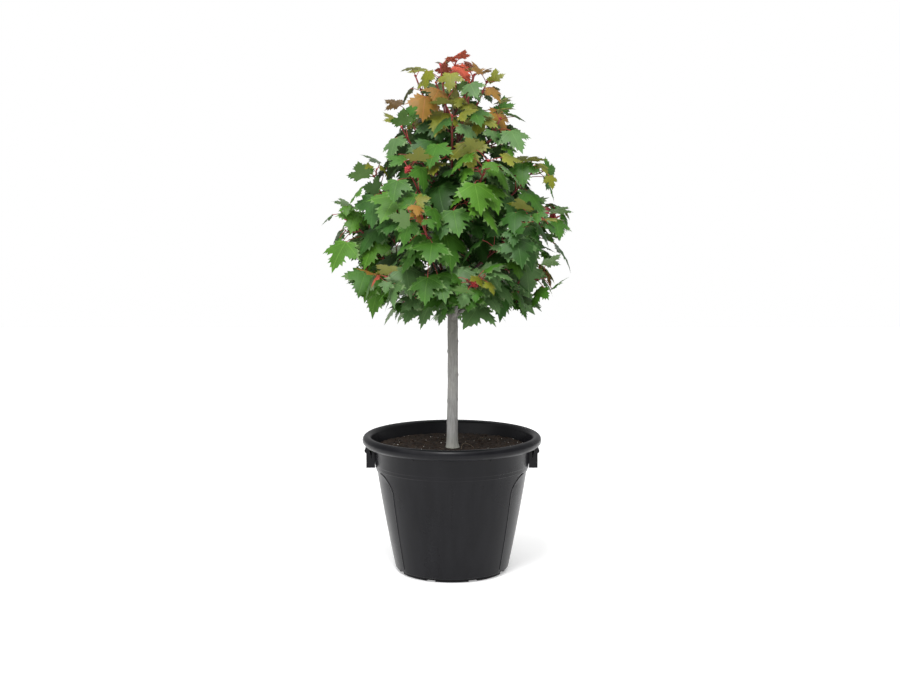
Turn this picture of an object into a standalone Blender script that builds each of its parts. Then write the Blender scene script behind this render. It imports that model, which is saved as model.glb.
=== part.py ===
"""A young red maple in a round nursery pot.

Metres, +Z up. The origin is the centre of the pot's flat underside, +X is the
tree's right-hand side and -Y its front.
"""

import math
import random
from dataclasses import dataclass

import bmesh
import bpy
from mathutils import Matrix, Vector
from mathutils.bvhtree import BVHTree

# Clearance between neighbouring solids
GAP = 0.0003
TRUNK_CLEARANCE = GAP * 1.2
MERGE = 0.00001
FINE_MERGE = 0.000001

# Pot: a 32 litre container, 460 mm over its rim and 352 mm high
POT_HEIGHT = 0.352
POT_STEPS = 36
WALL = 0.003
RIM_RADIUS = 0.2303
RIM_ROLL = 0.0120
RIM_CROWN = 0.013
RIM_BOTTOM = 0.3255
RIM_TUCK = 0.2215
RIM_CENTRE = POT_HEIGHT - RIM_CROWN
BAND_TOP_RADIUS = 0.2010
BAND_FOOT_RADIUS = 0.1990
BAND_FOOT = 0.278
LIP_FOOT = 0.322
BODY_TOP = 0.269
BODY_TOP_RADIUS = 0.1965
BODY_MID = 0.130
BODY_MID_RADIUS = 0.1730
BODY_FOOT = 0.006
BODY_FOOT_RADIUS = 0.1485
FOOT_RADIUS = 0.139
FLOOR_TOP = 0.0095

# Sharp edges, in degrees between faces
POT_EDGE = math.radians(35)
SOIL_EDGE = math.radians(40)

# Side panels of the pot, sunk into the wall below each lug
PANEL_DEPTH = 0.002
PANEL_HALF_ANGLE = math.radians(37)
PANEL_TOP = 0.264
PANEL_CORNER = 0.042
PANEL_BELOW = 0.008
PANEL_NEAR = 0.060
PANEL_REACH = 0.180
CORNER_STEPS = 4
CORE_TOP = 0.280
CORE_FOOT = -0.010

# Drain notches round the foot
NOTCH_COUNT = 8
NOTCH_WIDTH = 0.024
NOTCH_HEIGHT = 0.0045
NOTCH_INNER = 0.129
NOTCH_OUTER = BODY_FOOT_RADIUS + 0.010
NOTCH_BELOW = 0.002
FOOT_BEVEL = 0.001

# Grip lugs under the rim
LUG_HALF_WIDTH = 0.031
LUG_OUTER = 0.2195
LUG_FOOT = 0.2695
LUG_TOP = RIM_BOTTOM - GAP
CHEEK = 0.004
LUG_PLATE = 0.003
LUG_PLATE_TOP = 0.304
LUG_INNER = 0.186
BAR_RADIUS = 0.0070
BAR_HEIGHT = 0.3140
BAR_CENTRE = 0.2170
BAR_SIDES = 12
BAR_OVERHANG = 0.001
WINDOW = ((0.2050, 0.3205), (0.2130, 0.3205), (0.2055, 0.2900))
WINDOW_SIDE = 0.050
LUG_CUT_TOP = 0.342
LUG_CUT_FOOT = 0.260

# Soil
SOIL_TOP = 0.317
SOIL_BUMP = 0.0035
SOIL_PATCH = 0.030
SOIL_RINGS = (0.150, 0.105, 0.062, SOIL_PATCH)
SOIL_CLEARANCE = 0.0005
SOIL_EDGE_RADIUS = 0.190
SOIL_EASE = 0.030

# Trunk: height and radius from the cut at the soil to the fork under the tip
TRUNK = (
    (SOIL_TOP + GAP, 0.0172),
    (0.326, 0.0156),
    (0.347, 0.0144),
    (0.422, 0.0139),
    (0.622, 0.0135),
    (0.672, 0.0124),
    (0.782, 0.0100),
    (1.012, 0.0064),
    (1.122, 0.0047),
    (1.262, 0.0030),
)
TRUNK_SWAY = 0.0018
TRUNK_LEAN = 0.0025
TRUNK_WAVES = (7.5, 5.5)
TRUNK_WAVE_START = 0.6

# Crown: height and radius of its outline
CROWN = (
    (0.628, 0.180),
    (0.672, 0.230),
    (0.722, 0.285),
    (0.772, 0.318),
    (0.862, 0.338),
    (0.912, 0.322),
    (0.972, 0.286),
    (1.042, 0.262),
    (1.142, 0.215),
    (1.222, 0.175),
    (1.302, 0.115),
    (1.338, 0.040),
)

# Leaf: one half of its outline from the stalk to the tip, in blade lengths
HALF_LEAF = (
    (0.020, -0.010),
    (0.360, -0.050),
    (0.370, 0.120),
    (0.640, 0.360),
    (0.265, 0.520),
    (0.000, 1.000),
)
LEAF_CENTRE = 0.34
LEAF_CENTRE_LIFT = 0.012
LEAF_THICKNESS = 0.026
LEAF_SIDE_FALL = 0.26
LEAF_TIP_FALL = 0.16
LEAF_HEEL = 0.018
STALK_ROOT = 0.0010
STALK_SUNK = 0.0001
STALK_LENGTH = (0.50, 0.85)

# Room kept round a leaf while it looks for its place
LEAF_TRIES = 18
LEAF_SHYNESS = 1.03
SHY_THICKNESS = 3.0
SHY_STALK = 1.8
ROOT_CLEARANCE = 0.010

# How leaves stand on a shoot; spreads are in radians, droops in degrees below level
ROLL_SPREAD = 0.22
YAW_SPREAD = 0.30
TILT_SPREAD = 0.20
LOOSER_EACH_TRY = 0.12
STALK_ALONG = 0.42
STALK_OUTWARD = 0.90
STALK_UPWARD = 0.12
BLADE_AWAY = 0.80
BLADE_SIDEWAYS = 0.80
STALK_ABOVE_BLADE = 0.35
DROOP = 45.0
YOUNG_DROOP = -30.0
LEADER_DROOP = -62.0
DROOP_SPREAD = 9.0

# Twigs
TWIG_SIDES = 3
BOUGH_SIDES = 6
TRUNK_SIDES = 8
STEM_POINTS = 6
STEM_ROOT = 0.0034
STEM_TIP = 0.0026
LEADER_ROOT = 0.0028
SIDE_TWIG_ROOT = 0.0013
SIDE_TWIG = 0.0024
SIDE_TWIG_SWELL = 0.007
BOUGH_ROOT = 0.0052
BOUGH_POINTS = 5
BUD_RADIUS = 0.0090
LIMB_BEND = 0.52
FOOT_STAGGER = 0.011
FOOT_SPREAD = 0.002
REACH_SPREAD = (0.95, 1.05)
RISE_SPREAD = (0.92, 1.08)
SHOOT_SHARE_OF_TRUNK = 0.62

# Where the leaves of a shoot stand, and how they shrink towards its young end
FIRST_PAIR = 0.35
PAIR_TURN = math.pi / 2 + 0.22
BLADE_SPREAD = (0.92, 1.08)
SHRINK_FROM = 0.45
SHRINK_BY = 0.42
TIP_SHARE = 0.985
TIP_TURN = 0.8
TIP_BLADE = 0.55
SIDE_LENGTH = (0.60, 0.80)
SIDE_ALONG = 0.70
SIDE_OUTWARD = 0.75
SIDE_UPTURN = 0.35
SIDE_ROOM = 0.001
SIDE_NODE = 0.75
SIDE_TURN = 0.5
SIDE_BLADES = (0.95, 0.9, 0.8)
SIDE_TIP_INSET = 0.002

# The forked tip above the trunk
LEADER_BENDS = ((0.001, -0.002, 0.018), (0.006, -0.004, 0.034))
LEADER_BLADE = 0.062
LEADER_PAIRS = 2

SEED = 52


@dataclass(frozen=True)
class Storey:
    """Limbs that leave the trunk at about one height."""

    name: str
    foot: float
    rise: float
    reach: float
    arch: float
    bare: float
    blade: float
    pairs: int
    side_twigs: int
    azimuths: tuple


STOREYS = (
    Storey("skirt", 0.656, 0.105, 0.226, 0.80, 0.32, 0.092, 5, 0, (284, 345, 38, 97, 163, 222)),
    Storey("lower", 0.722, 0.190, 0.262, 0.48, 0.32, 0.094, 5, 1, (5, 66, 126, 177, 253, 318)),
    Storey("middle", 0.834, 0.200, 0.206, 0.42, 0.30, 0.093, 5, 1, (345, 42, 103, 190, 240, 295)),
    Storey("upper", 0.947, 0.205, 0.142, 0.42, 0.0, 0.090, 5, 0, (212, 75, 140, 325, 270, 20)),
    Storey("top", 1.072, 0.190, 0.092, 0.42, 0.0, 0.085, 4, 0, (172, 12, 250, 305, 110)),
    Storey("crest", 1.162, 0.095, 0.050, 0.42, 0.0, 0.078, 2, 0, (215, 340, 80)),
)


def clear_scene():
    """Removes the objects that the scene starts with."""
    for old in list(bpy.data.objects):
        bpy.data.objects.remove(old, do_unlink=True)


def new_collection(name):
    """A collection in the scene."""
    made = bpy.data.collections.new(name)
    bpy.context.scene.collection.children.link(made)
    return made


def material(name, colour, roughness):
    """A plain finish of one colour."""
    made = bpy.data.materials.new(name)
    made.use_nodes = True
    shader = made.node_tree.nodes["Principled BSDF"]
    shader.inputs["Base Color"].default_value = (*colour, 1.0)
    shader.inputs["Roughness"].default_value = roughness
    shader.inputs["Metallic"].default_value = 0.0
    return made


def add_object(name, mesh, collection, finish=None):
    """An object of a mesh or curve in a collection."""
    made = bpy.data.objects.new(name, mesh)
    collection.objects.link(made)
    if finish is not None:
        mesh.materials.clear()
        mesh.materials.append(finish)
    return made


def mesh_from_bmesh(name, bm):
    """A mesh with its faces turned outwards."""
    bmesh.ops.recalc_face_normals(bm, faces=bm.faces)
    mesh = bpy.data.meshes.new(name)
    bm.to_mesh(mesh)
    bm.free()
    return mesh


def evaluated_mesh(source, merge=MERGE):
    """The mesh of an object with its modifiers, in world space, welded."""
    graph = bpy.context.evaluated_depsgraph_get()
    mesh = bpy.data.meshes.new_from_object(source.evaluated_get(graph))
    bm = bmesh.new()
    bm.from_mesh(mesh)
    bmesh.ops.transform(bm, matrix=source.matrix_world, verts=bm.verts)
    if merge:
        bmesh.ops.remove_doubles(bm, verts=bm.verts, dist=merge)
    bm.to_mesh(mesh)
    bm.free()
    return mesh


def settle(source, merge=MERGE):
    """Applies an object's modifiers to its mesh."""
    mesh = evaluated_mesh(source, merge)
    source.modifiers.clear()
    source.data = mesh
    return source


def combine(target, operand, operation, solver="EXACT"):
    """Joins a cutter, or a collection of pieces, to an object and applies it."""
    step = target.modifiers.new(operation.title(), "BOOLEAN")
    step.operation = operation
    step.solver = solver
    if isinstance(operand, bpy.types.Collection):
        step.operand_type = "COLLECTION"
        step.collection = operand
    else:
        step.object = operand
    return settle(target, FINE_MERGE if solver == "EXACT" else 0.0)


def as_cutter(piece):
    """Marks an object as one that only shapes others."""
    piece.hide_render = True
    piece.display_type = "WIRE"
    return piece


def turned(name, profile, collection, finish=None):
    """A profile of (radius, height) points, turned round Z."""
    mesh = bpy.data.meshes.new(name)
    points = [(radius, 0.0, height) for radius, height in profile]
    edges = [(i, i + 1) for i in range(len(points) - 1)]
    mesh.from_pydata(points, edges, [])
    made = add_object(name, mesh, collection, finish)
    screw = made.modifiers.new("Turn", "SCREW")
    screw.steps = POT_STEPS
    screw.render_steps = POT_STEPS
    screw.use_merge_vertices = True
    screw.merge_threshold = MERGE
    return settle(made)


def between(table, height):
    """Reads a table of (height, value) rows at a height."""
    if height <= table[0][0]:
        return table[0][1]
    for (low, a), (high, b) in zip(table, table[1:]):
        if height <= high:
            return a + (b - a) * (height - low) / (high - low)
    return table[-1][1]


def body_radius(height):
    """Outer radius of the pot's wall below its band, a curve through three named radii."""
    low, mid, high = BODY_FOOT, BODY_MID, BODY_TOP
    a = BODY_FOOT_RADIUS * (height - mid) * (height - high) / ((low - mid) * (low - high))
    b = BODY_MID_RADIUS * (height - low) * (height - high) / ((mid - low) * (mid - high))
    c = BODY_TOP_RADIUS * (height - low) * (height - mid) / ((high - low) * (high - mid))
    return a + b + c


BODY_LEVELS = (BODY_TOP, 0.190, 0.100, BODY_FOOT)


def inner_wall(clearance=0.0):
    """Inner side of the pot from the floor's edge to the foot of its flared lip."""
    levels = [FLOOR_TOP, *reversed(BODY_LEVELS[:-1])]
    wall = [(body_radius(z) - WALL - clearance, z) for z in levels]
    return [*wall, (BAND_TOP_RADIUS - WALL - clearance, LIP_FOOT)]


def make_pot(parts, cutters, finish):
    """The pot with its rolled rim, band, sunk side panels and notched foot."""
    profile = [(0.0, FLOOR_TOP), *inner_wall()]
    for angle in (180, 130, 90, 45, 0, -45):
        turn = math.radians(angle)
        radius = RIM_RADIUS - RIM_ROLL + RIM_ROLL * math.cos(turn)
        profile.append((radius, RIM_CENTRE + RIM_CROWN * math.sin(turn)))
    profile.append((RIM_TUCK, RIM_BOTTOM))
    profile.append((BAND_TOP_RADIUS, RIM_BOTTOM))
    profile.append((BAND_FOOT_RADIUS, BAND_FOOT))
    profile += [(body_radius(z), z) for z in BODY_LEVELS]
    profile += [(FOOT_RADIUS, BODY_FOOT), (FOOT_RADIUS - FOOT_BEVEL, 0.0), (0.0, 0.0)]
    pot = turned("pot", profile, parts, finish)

    core_levels = (CORE_TOP, *BODY_LEVELS[1:], CORE_FOOT)
    core = [(0.0, CORE_TOP)]
    core += [(body_radius(z) - PANEL_DEPTH, z) for z in core_levels]
    core.append((0.0, CORE_FOOT))
    panel_core = as_cutter(turned("panel_core", core, cutters))
    for side in (1, -1):
        panel = as_cutter(panel_prism(side, cutters))
        combine(panel, panel_core, "DIFFERENCE")
        combine(pot, panel, "DIFFERENCE")
    for index in range(NOTCH_COUNT):
        turn = math.radians(360 / NOTCH_COUNT * (index + 0.5))
        combine(pot, as_cutter(foot_notch(turn, cutters)), "DIFFERENCE")
    pot.data.shade_smooth()
    pot.data.set_sharp_from_angle(angle=POT_EDGE)
    return pot


def panel_prism(side, cutters):
    """A side panel's outline with its round top corners, pushed through the wall."""
    foot = -PANEL_BELOW
    spread = math.sin(PANEL_HALF_ANGLE)
    outline = [(-body_radius(foot) * spread, foot), (body_radius(foot) * spread, foot)]
    half_top = body_radius(PANEL_TOP) * spread
    for step in range(CORNER_STEPS + 1):
        turn = math.pi / 2 * step / CORNER_STEPS
        y = half_top - PANEL_CORNER * (1 - math.cos(turn))
        outline.append((y, PANEL_TOP - PANEL_CORNER * (1 - math.sin(turn))))
    outline += [(-y, z) for y, z in reversed(outline[2:])]
    bm = bmesh.new()
    face = bm.faces.new([bm.verts.new((side * PANEL_NEAR, y, z)) for y, z in outline])
    made = bmesh.ops.extrude_face_region(bm, geom=[face])
    moved = [item for item in made["geom"] if isinstance(item, bmesh.types.BMVert)]
    bmesh.ops.translate(bm, vec=(side * PANEL_REACH, 0.0, 0.0), verts=moved)
    return add_object("panel_cutter", mesh_from_bmesh("panel_cutter", bm), cutters)


def box(name, low, high, collection, turn=0.0):
    """A box between two corners, turned about Z."""
    bm = bmesh.new()
    bmesh.ops.create_cube(bm, size=1.0)
    low, high = Vector(low), Vector(high)
    place = Matrix.Rotation(turn, 4, "Z") @ Matrix.Translation((low + high) / 2)
    place = place @ Matrix.Diagonal((*(high - low), 1.0))
    bmesh.ops.transform(bm, matrix=place, verts=bm.verts)
    return add_object(name, mesh_from_bmesh(name, bm), collection)


def foot_notch(turn, cutters):
    """A box that cuts one drain notch through the foot's edge."""
    low = (NOTCH_INNER, -NOTCH_WIDTH / 2, -NOTCH_BELOW)
    high = (NOTCH_OUTER, NOTCH_WIDTH / 2, NOTCH_HEIGHT)
    return box("notch_cutter", low, high, cutters, turn)


def make_lug(name, side, parts, cutters, finish):
    """Two cheeks, a plate and a round bar, open below for the fingers."""
    spare = new_collection(name + "_pieces")
    cheek_low = (LUG_INNER, -LUG_HALF_WIDTH, LUG_FOOT)
    cheek_high = (LUG_OUTER, CHEEK - LUG_HALF_WIDTH, LUG_TOP)
    lug = box(name, cheek_low, cheek_high, parts)
    other_low = (LUG_INNER, LUG_HALF_WIDTH - CHEEK, LUG_FOOT)
    other_high = (LUG_OUTER, LUG_HALF_WIDTH, LUG_TOP)
    box("cheek", other_low, other_high, spare)
    plate_low = (LUG_OUTER - LUG_PLATE, -LUG_HALF_WIDTH, LUG_FOOT)
    plate_high = (LUG_OUTER, LUG_HALF_WIDTH, LUG_PLATE_TOP + BAR_RADIUS)
    box("plate", plate_low, plate_high, spare)
    bm = bmesh.new()
    lie = Matrix.Translation((BAR_CENTRE, 0.0, BAR_HEIGHT)) @ Matrix.Rotation(math.pi / 2, 4, "X")
    bmesh.ops.create_cone(
        bm,
        cap_ends=True,
        segments=BAR_SIDES,
        radius1=BAR_RADIUS,
        radius2=BAR_RADIUS,
        depth=2 * LUG_HALF_WIDTH + BAR_OVERHANG,
        matrix=lie,
    )
    add_object("bar", mesh_from_bmesh("bar", bm), spare)
    combine(lug, spare, "UNION")
    empty(spare)

    bm = bmesh.new()
    corners = [bm.verts.new((x, -WINDOW_SIDE, z)) for x, z in WINDOW]
    made = bmesh.ops.extrude_face_region(bm, geom=[bm.faces.new(corners)])
    moved = [item for item in made["geom"] if isinstance(item, bmesh.types.BMVert)]
    bmesh.ops.translate(bm, vec=(0.0, 2 * WINDOW_SIDE, 0.0), verts=moved)
    window = as_cutter(add_object("window_cutter", mesh_from_bmesh("window", bm), cutters))
    combine(lug, window, "DIFFERENCE")

    upper = BAND_TOP_RADIUS + GAP
    lower = BAND_FOOT_RADIUS + GAP
    wall = [(0.0, LUG_CUT_TOP), (upper, LUG_CUT_TOP), (upper, RIM_BOTTOM)]
    wall += [(lower, BAND_FOOT), (lower, LUG_CUT_FOOT), (0.0, LUG_CUT_FOOT)]
    combine(lug, as_cutter(turned("lug_wall_cutter", wall, cutters)), "DIFFERENCE")
    lug.data.transform(Matrix.Rotation(0.0 if side > 0 else math.pi, 4, "Z"))
    lug.data.materials.clear()
    lug.data.materials.append(finish)
    return lug


def empty(collection):
    """Removes a collection and the objects in it."""
    for piece in list(collection.objects):
        bpy.data.objects.remove(piece, do_unlink=True)
    bpy.data.collections.remove(collection)


def soil_bump(x, y):
    """Height of the loose soil above its mean level, nothing round the trunk and the wall."""
    radius = math.hypot(x, y)
    inner = max(0.0, (radius - SOIL_PATCH) / SOIL_EASE)
    outer = max(0.0, (SOIL_EDGE_RADIUS - radius) / SOIL_EASE)
    broad = math.sin(41 * x + 1.3) * math.cos(37 * y)
    fine = 0.6 * math.sin(83 * x - 61 * y)
    return min(1.0, inner, outer) * SOIL_BUMP * (broad + fine)


def make_soil(parts, finish):
    """The root ball, from the pot's floor to the loose top."""
    side = inner_wall(SOIL_CLEARANCE)
    (low_radius, low), (high_radius, high) = side[-2:]
    edge = low_radius + (high_radius - low_radius) * (SOIL_TOP - low) / (high - low)
    side = [(side[0][0], FLOOR_TOP + GAP), *side[1:-1], (edge, SOIL_TOP)]
    profile = [(0.0, SOIL_TOP)]
    profile += [(radius, SOIL_TOP) for radius in reversed(SOIL_RINGS)]
    profile += [*reversed(side), (0.0, FLOOR_TOP + GAP)]
    soil = turned("soil", profile, parts, finish)
    for vertex in soil.data.vertices:
        if vertex.co.z > SOIL_TOP - MERGE:
            vertex.co.z += soil_bump(vertex.co.x, vertex.co.y)
    soil.data.shade_smooth()
    soil.data.set_sharp_from_angle(angle=SOIL_EDGE)
    return soil


def trunk_axis(height):
    """Centre of the trunk at a height, with its sway and slight lean."""
    share = (height - SOIL_TOP) / (TRUNK[-1][0] - SOIL_TOP)
    wave_x, wave_y = TRUNK_WAVES
    x = TRUNK_LEAN * share + TRUNK_SWAY * math.sin(wave_x * share)
    start = math.sin(TRUNK_WAVE_START)
    y = TRUNK_SWAY * (math.sin(wave_y * share + TRUNK_WAVE_START) - start)
    return Vector((x, y, height))


def round_limb(name, points, radii, resolution, collection):
    """A tapering limb with flat ends, as a mesh."""
    curve = bpy.data.curves.new(name, "CURVE")
    curve.dimensions = "3D"
    curve.bevel_depth = 1.0
    curve.bevel_resolution = resolution
    curve.use_fill_caps = True
    spline = curve.splines.new("POLY")
    spline.points.add(len(points) - 1)
    for target, point, radius in zip(spline.points, points, radii):
        target.co = (*point, 1.0)
        target.radius = radius
    source = add_object(name + "_curve", curve, collection)
    bpy.context.view_layer.update()
    mesh = evaluated_mesh(source)
    bpy.data.objects.remove(source, do_unlink=True)
    return add_object(name, mesh, collection)


def make_trunk(name, collection, growth=0.0):
    """The trunk, or a copy grown outwards to cut its boughs clear of it."""
    heights = [height for height, _ in TRUNK]
    radii = [radius + growth for _, radius in TRUNK]
    points = [trunk_axis(height) for height in heights]
    trunk = round_limb(name, points, radii, 2, collection)
    for vertex in trunk.data.vertices:
        if vertex.co.z < (heights[0] + heights[1]) / 2:
            vertex.co.z = heights[0]
    return trunk


def limb_path(foot, azimuth, reach, rise, arch):
    """A limb from the trunk's axis to its tip; arch is the share of its rise at mid reach."""
    start = trunk_axis(foot)
    away = Vector((math.cos(azimuth), math.sin(azimuth), 0.0))
    bend = start + away * reach * LIMB_BEND + Vector((0.0, 0.0, rise * arch))
    tip = start + away * reach + Vector((0.0, 0.0, rise))

    def at(share):
        first = start.lerp(bend, share)
        return first.lerp(bend.lerp(tip, share), share)

    return at


def tube_shape(points, radii, sides=TWIG_SIDES):
    """Points and faces of a closed tube with flat ends, lofted along its points."""
    heading = (points[1] - points[0]).normalized()
    helper = Vector((0.0, 0.0, 1.0)) if abs(heading.z) < 0.9 else Vector((1.0, 0.0, 0.0))
    corners, faces = [], []
    for index, (point, radius) in enumerate(zip(points, radii)):
        ahead = points[min(index + 1, len(points) - 1)]
        behind = points[max(index - 1, 0)]
        along = (ahead - behind).normalized()
        across = along.cross(helper).normalized()
        up = across.cross(along)
        for step in range(sides):
            turn = 2 * math.pi * step / sides
            corners.append(point + (across * math.cos(turn) + up * math.sin(turn)) * radius)
    for ring in range(len(points) - 1):
        for step in range(sides):
            after = (step + 1) % sides
            low, high = ring * sides, (ring + 1) * sides
            faces.append((low + step, low + after, high + after))
            faces.append((low + step, high + after, high + step))
    last = (len(points) - 1) * sides
    faces.append(tuple(reversed(range(sides))))
    faces.append(tuple(range(last, last + sides)))
    return corners, faces


def loft(name, shape, collection):
    """An object from the points and faces of a closed shape."""
    bm = bmesh.new()
    points, faces = shape
    corners = [bm.verts.new(point) for point in points]
    for face in faces:
        bm.faces.new([corners[index] for index in face])
    return add_object(name, mesh_from_bmesh(name, bm), collection)


@dataclass(frozen=True)
class Leaf:
    """A leaf as a matrix for its blade and the point that its stalk leaves."""

    root: Vector
    frame: Matrix
    size: float


def leaf_shape(leaf, swell=1.0, stalk_skip=0.0):
    """Points and faces of a lobed blade lofted into its stalk, closed all round."""
    size = leaf.size
    right = [(x, y) for x, y in HALF_LEAF]
    left = [(-x, y) for x, y in reversed(HALF_LEAF[:-1])]
    outline = right + left
    points = []
    for x, y in outline:
        fall = LEAF_SIDE_FALL * x * x + LEAF_TIP_FALL * y * y
        local = Vector((x * swell, LEAF_CENTRE + (y - LEAF_CENTRE) * swell, -fall))
        points.append(leaf.frame @ (local * size))
    count = len(points)
    thickness = LEAF_THICKNESS * (SHY_THICKNESS if swell > 1.0 else 1.0)
    middle = LEAF_CENTRE_LIFT - LEAF_TIP_FALL * LEAF_CENTRE * LEAF_CENTRE
    top = leaf.frame @ (Vector((0.0, LEAF_CENTRE, middle + thickness / 4)) * size)
    bottom = leaf.frame @ (Vector((0.0, LEAF_CENTRE, middle - thickness * 3 / 4)) * size)
    below = leaf.frame @ (Vector((0.0, 0.0, -LEAF_HEEL)) * size)
    points += [top, bottom, below]
    top_index, bottom_index, below_index = count, count + 1, count + 2
    faces = []
    for index in range(count):
        after = (index + 1) % count
        faces.append((index, after, top_index))
        if after:
            faces.append((after, index, bottom_index))
    last = count - 1
    faces.append((below_index, last, bottom_index))
    faces.append((0, below_index, bottom_index))

    junction = leaf.frame.translation
    along = (junction - leaf.root).normalized()
    start = leaf.root + along * (stalk_skip or STALK_SUNK)
    across = (points[0] - points[last]).normalized()
    across = (across - along * across.dot(along)).normalized()
    under = along.cross(across)
    radius = STALK_ROOT * (SHY_STALK if swell > 1.0 else 1.0)
    first = len(points)
    half_side = radius * math.sqrt(3) / 2
    points.append(start + across * half_side - under * radius / 2)
    points.append(start - across * half_side - under * radius / 2)
    points.append(start + under * radius)
    if (points[below_index] - junction).dot(under) < 0:
        points[first] += under * radius
        points[first + 1] += under * radius
        points[first + 2] -= under * radius * 2
    ring = (0, last, below_index)
    root = (first, first + 1, first + 2)
    for index in range(3):
        after = (index + 1) % 3
        faces.append((ring[index], root[index], root[after]))
        faces.append((ring[index], root[after], ring[after]))
    faces.append((root[2], root[1], root[0]))
    return points, faces


class Crown:
    """What has grown so far, so that nothing new touches it."""

    def __init__(self):
        """An empty crown."""
        self.solids = []

    def add(self, owner, points, faces):
        """Keeps the space of a closed shape that belongs to a limb or a mass."""
        centre = sum(points, Vector()) / len(points)
        radius = max((point - centre).length for point in points)
        self.solids.append((owner, centre, radius, BVHTree.FromPolygons(points, faces)))

    def holds(self, points):
        """Whether every point lies inside the crown's outline."""
        for point in points:
            if not CROWN[0][0] <= point.z <= CROWN[-1][0]:
                return False
            if math.hypot(point.x, point.y) > between(CROWN, point.z):
                return False
        return True

    def crosses(self, shape, owner, own):
        """Whether a closed shape crosses its owner's solids, or those of all others."""
        points, faces = shape
        centre = sum(points, Vector()) / len(points)
        radius = max((point - centre).length for point in points)
        tree = None
        for other, middle, reach, solid in self.solids:
            if (other == owner) != own or (middle - centre).length > reach + radius:
                continue
            tree = tree or BVHTree.FromPolygons(points, faces)
            if tree.overlap(solid):
                return True
        return False


def grow_leaf(rng, crown, owner, root, heading, roll, size, fall=DROOP):
    """Tries a leaf at a node of a twig until one fits, and returns it or None."""
    along = heading.normalized()
    helper = Vector((0.0, 0.0, 1.0)) if abs(along.z) < 0.95 else Vector((1.0, 0.0, 0.0))
    across = along.cross(helper).normalized()
    for attempt in range(LEAF_TRIES):
        loose = 1.0 + LOOSER_EACH_TRY * attempt
        turn = roll + rng.gauss(0.0, ROLL_SPREAD) * loose
        stalk = size * rng.uniform(*STALK_LENGTH)
        yaw = rng.gauss(0.0, YAW_SPREAD) * loose
        droop = math.radians(rng.gauss(fall, DROOP_SPREAD * loose))
        tilt = rng.gauss(0.0, TILT_SPREAD) * loose
        side = Matrix.Rotation(turn, 3, along) @ across
        way = along * STALK_ALONG + side * STALK_OUTWARD + Vector((0.0, 0.0, STALK_UPWARD))
        way.normalize()
        base = root + way * stalk
        away = Vector((base.x, base.y, 0.0)).normalized()
        flat = away * BLADE_AWAY + Vector((side.x, side.y, 0.0)) * BLADE_SIDEWAYS
        flat = (Matrix.Rotation(yaw, 3, "Z") @ flat).normalized()
        axis = flat * math.cos(droop) - Vector((0.0, 0.0, math.sin(droop)))
        sideways = axis.cross(Vector((0.0, 0.0, 1.0))).normalized()
        sideways = Matrix.Rotation(tilt, 3, axis) @ sideways
        upper = sideways.cross(axis)
        if way.dot(axis) < 0.0 and way.dot(upper) < STALK_ABOVE_BLADE:
            continue
        frame = Matrix((sideways, axis, upper)).transposed().to_4x4()
        frame.translation = base
        leaf = Leaf(root, frame, size)
        clear = leaf_shape(leaf, LEAF_SHYNESS, ROOT_CLEARANCE)
        if not crown.holds(clear[0]) or crown.crosses(clear, owner, True):
            continue
        if not crown.crosses(leaf_shape(leaf, LEAF_SHYNESS), owner, False):
            crown.add(owner, *leaf_shape(leaf))
            return leaf
    return None


@dataclass
class Mass:
    """One shoot with its side twigs and leaves."""

    name: str
    stem: list
    radii: list
    blade: float
    pairs: int
    side_twigs: int
    tip_bud: bool
    from_trunk: bool
    young_droop: float = YOUNG_DROOP


def plan_limbs(rng):
    """Bare boughs and leafy shoots of every storey."""
    boughs, masses = [], []
    for storey in STOREYS:
        for index, degrees in enumerate(storey.azimuths):
            foot = storey.foot + FOOT_STAGGER * (index % 3 - 1)
            foot += rng.uniform(-FOOT_SPREAD, FOOT_SPREAD)
            reach = storey.reach * rng.uniform(*REACH_SPREAD)
            rise = storey.rise * rng.uniform(*RISE_SPREAD)
            azimuth = math.radians(degrees)
            path = limb_path(foot, azimuth, reach, rise, storey.arch)
            label = f"{storey.name}_{index + 1}"
            root_radius = STEM_ROOT
            if storey.bare:
                shares = [storey.bare * step / (BOUGH_POINTS - 1) for step in range(BOUGH_POINTS)]
                radii = [BOUGH_ROOT + (STEM_ROOT - BOUGH_ROOT) * s / storey.bare for s in shares]
                boughs.append(("bough_" + label, [path(s) for s in shares], radii))
            start = storey.bare
            shares = [start + (1 - start) * s / (STEM_POINTS - 1) for s in range(STEM_POINTS)]
            stem = [path(share) for share in shares]
            if storey.bare:
                stem[0] = stem[0] + (stem[1] - stem[0]).normalized() * GAP
            else:
                root_radius = min(STEM_ROOT, SHOOT_SHARE_OF_TRUNK * between(TRUNK, foot))
            thinning = (STEM_TIP - root_radius) / (STEM_POINTS - 1)
            radii = [root_radius + thinning * step for step in range(STEM_POINTS)]
            masses.append(
                Mass(
                    name="foliage_" + label,
                    stem=stem,
                    radii=radii,
                    blade=storey.blade,
                    pairs=storey.pairs,
                    side_twigs=storey.side_twigs,
                    tip_bud=index % 2 == 0,
                    from_trunk=not storey.bare,
                )
            )
    return boughs, masses


def leader():
    """The forked tip that carries on from the trunk."""
    start = trunk_axis(TRUNK[-1][0]) + Vector((0.0, 0.0, GAP))
    return Mass(
        name="foliage_leader",
        stem=[start, *(start + Vector(bend) for bend in LEADER_BENDS)],
        radii=[LEADER_ROOT, STEM_TIP, STEM_TIP],
        blade=LEADER_BLADE,
        pairs=LEADER_PAIRS,
        side_twigs=0,
        tip_bud=False,
        from_trunk=False,
        young_droop=LEADER_DROOP,
    )


def path_point(points, share):
    """Point and heading at a share of a path's length in points."""
    place = share * (len(points) - 1)
    index = min(int(place), len(points) - 2)
    a, b = points[index], points[index + 1]
    return a.lerp(b, place - index), (b - a).normalized()


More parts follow.
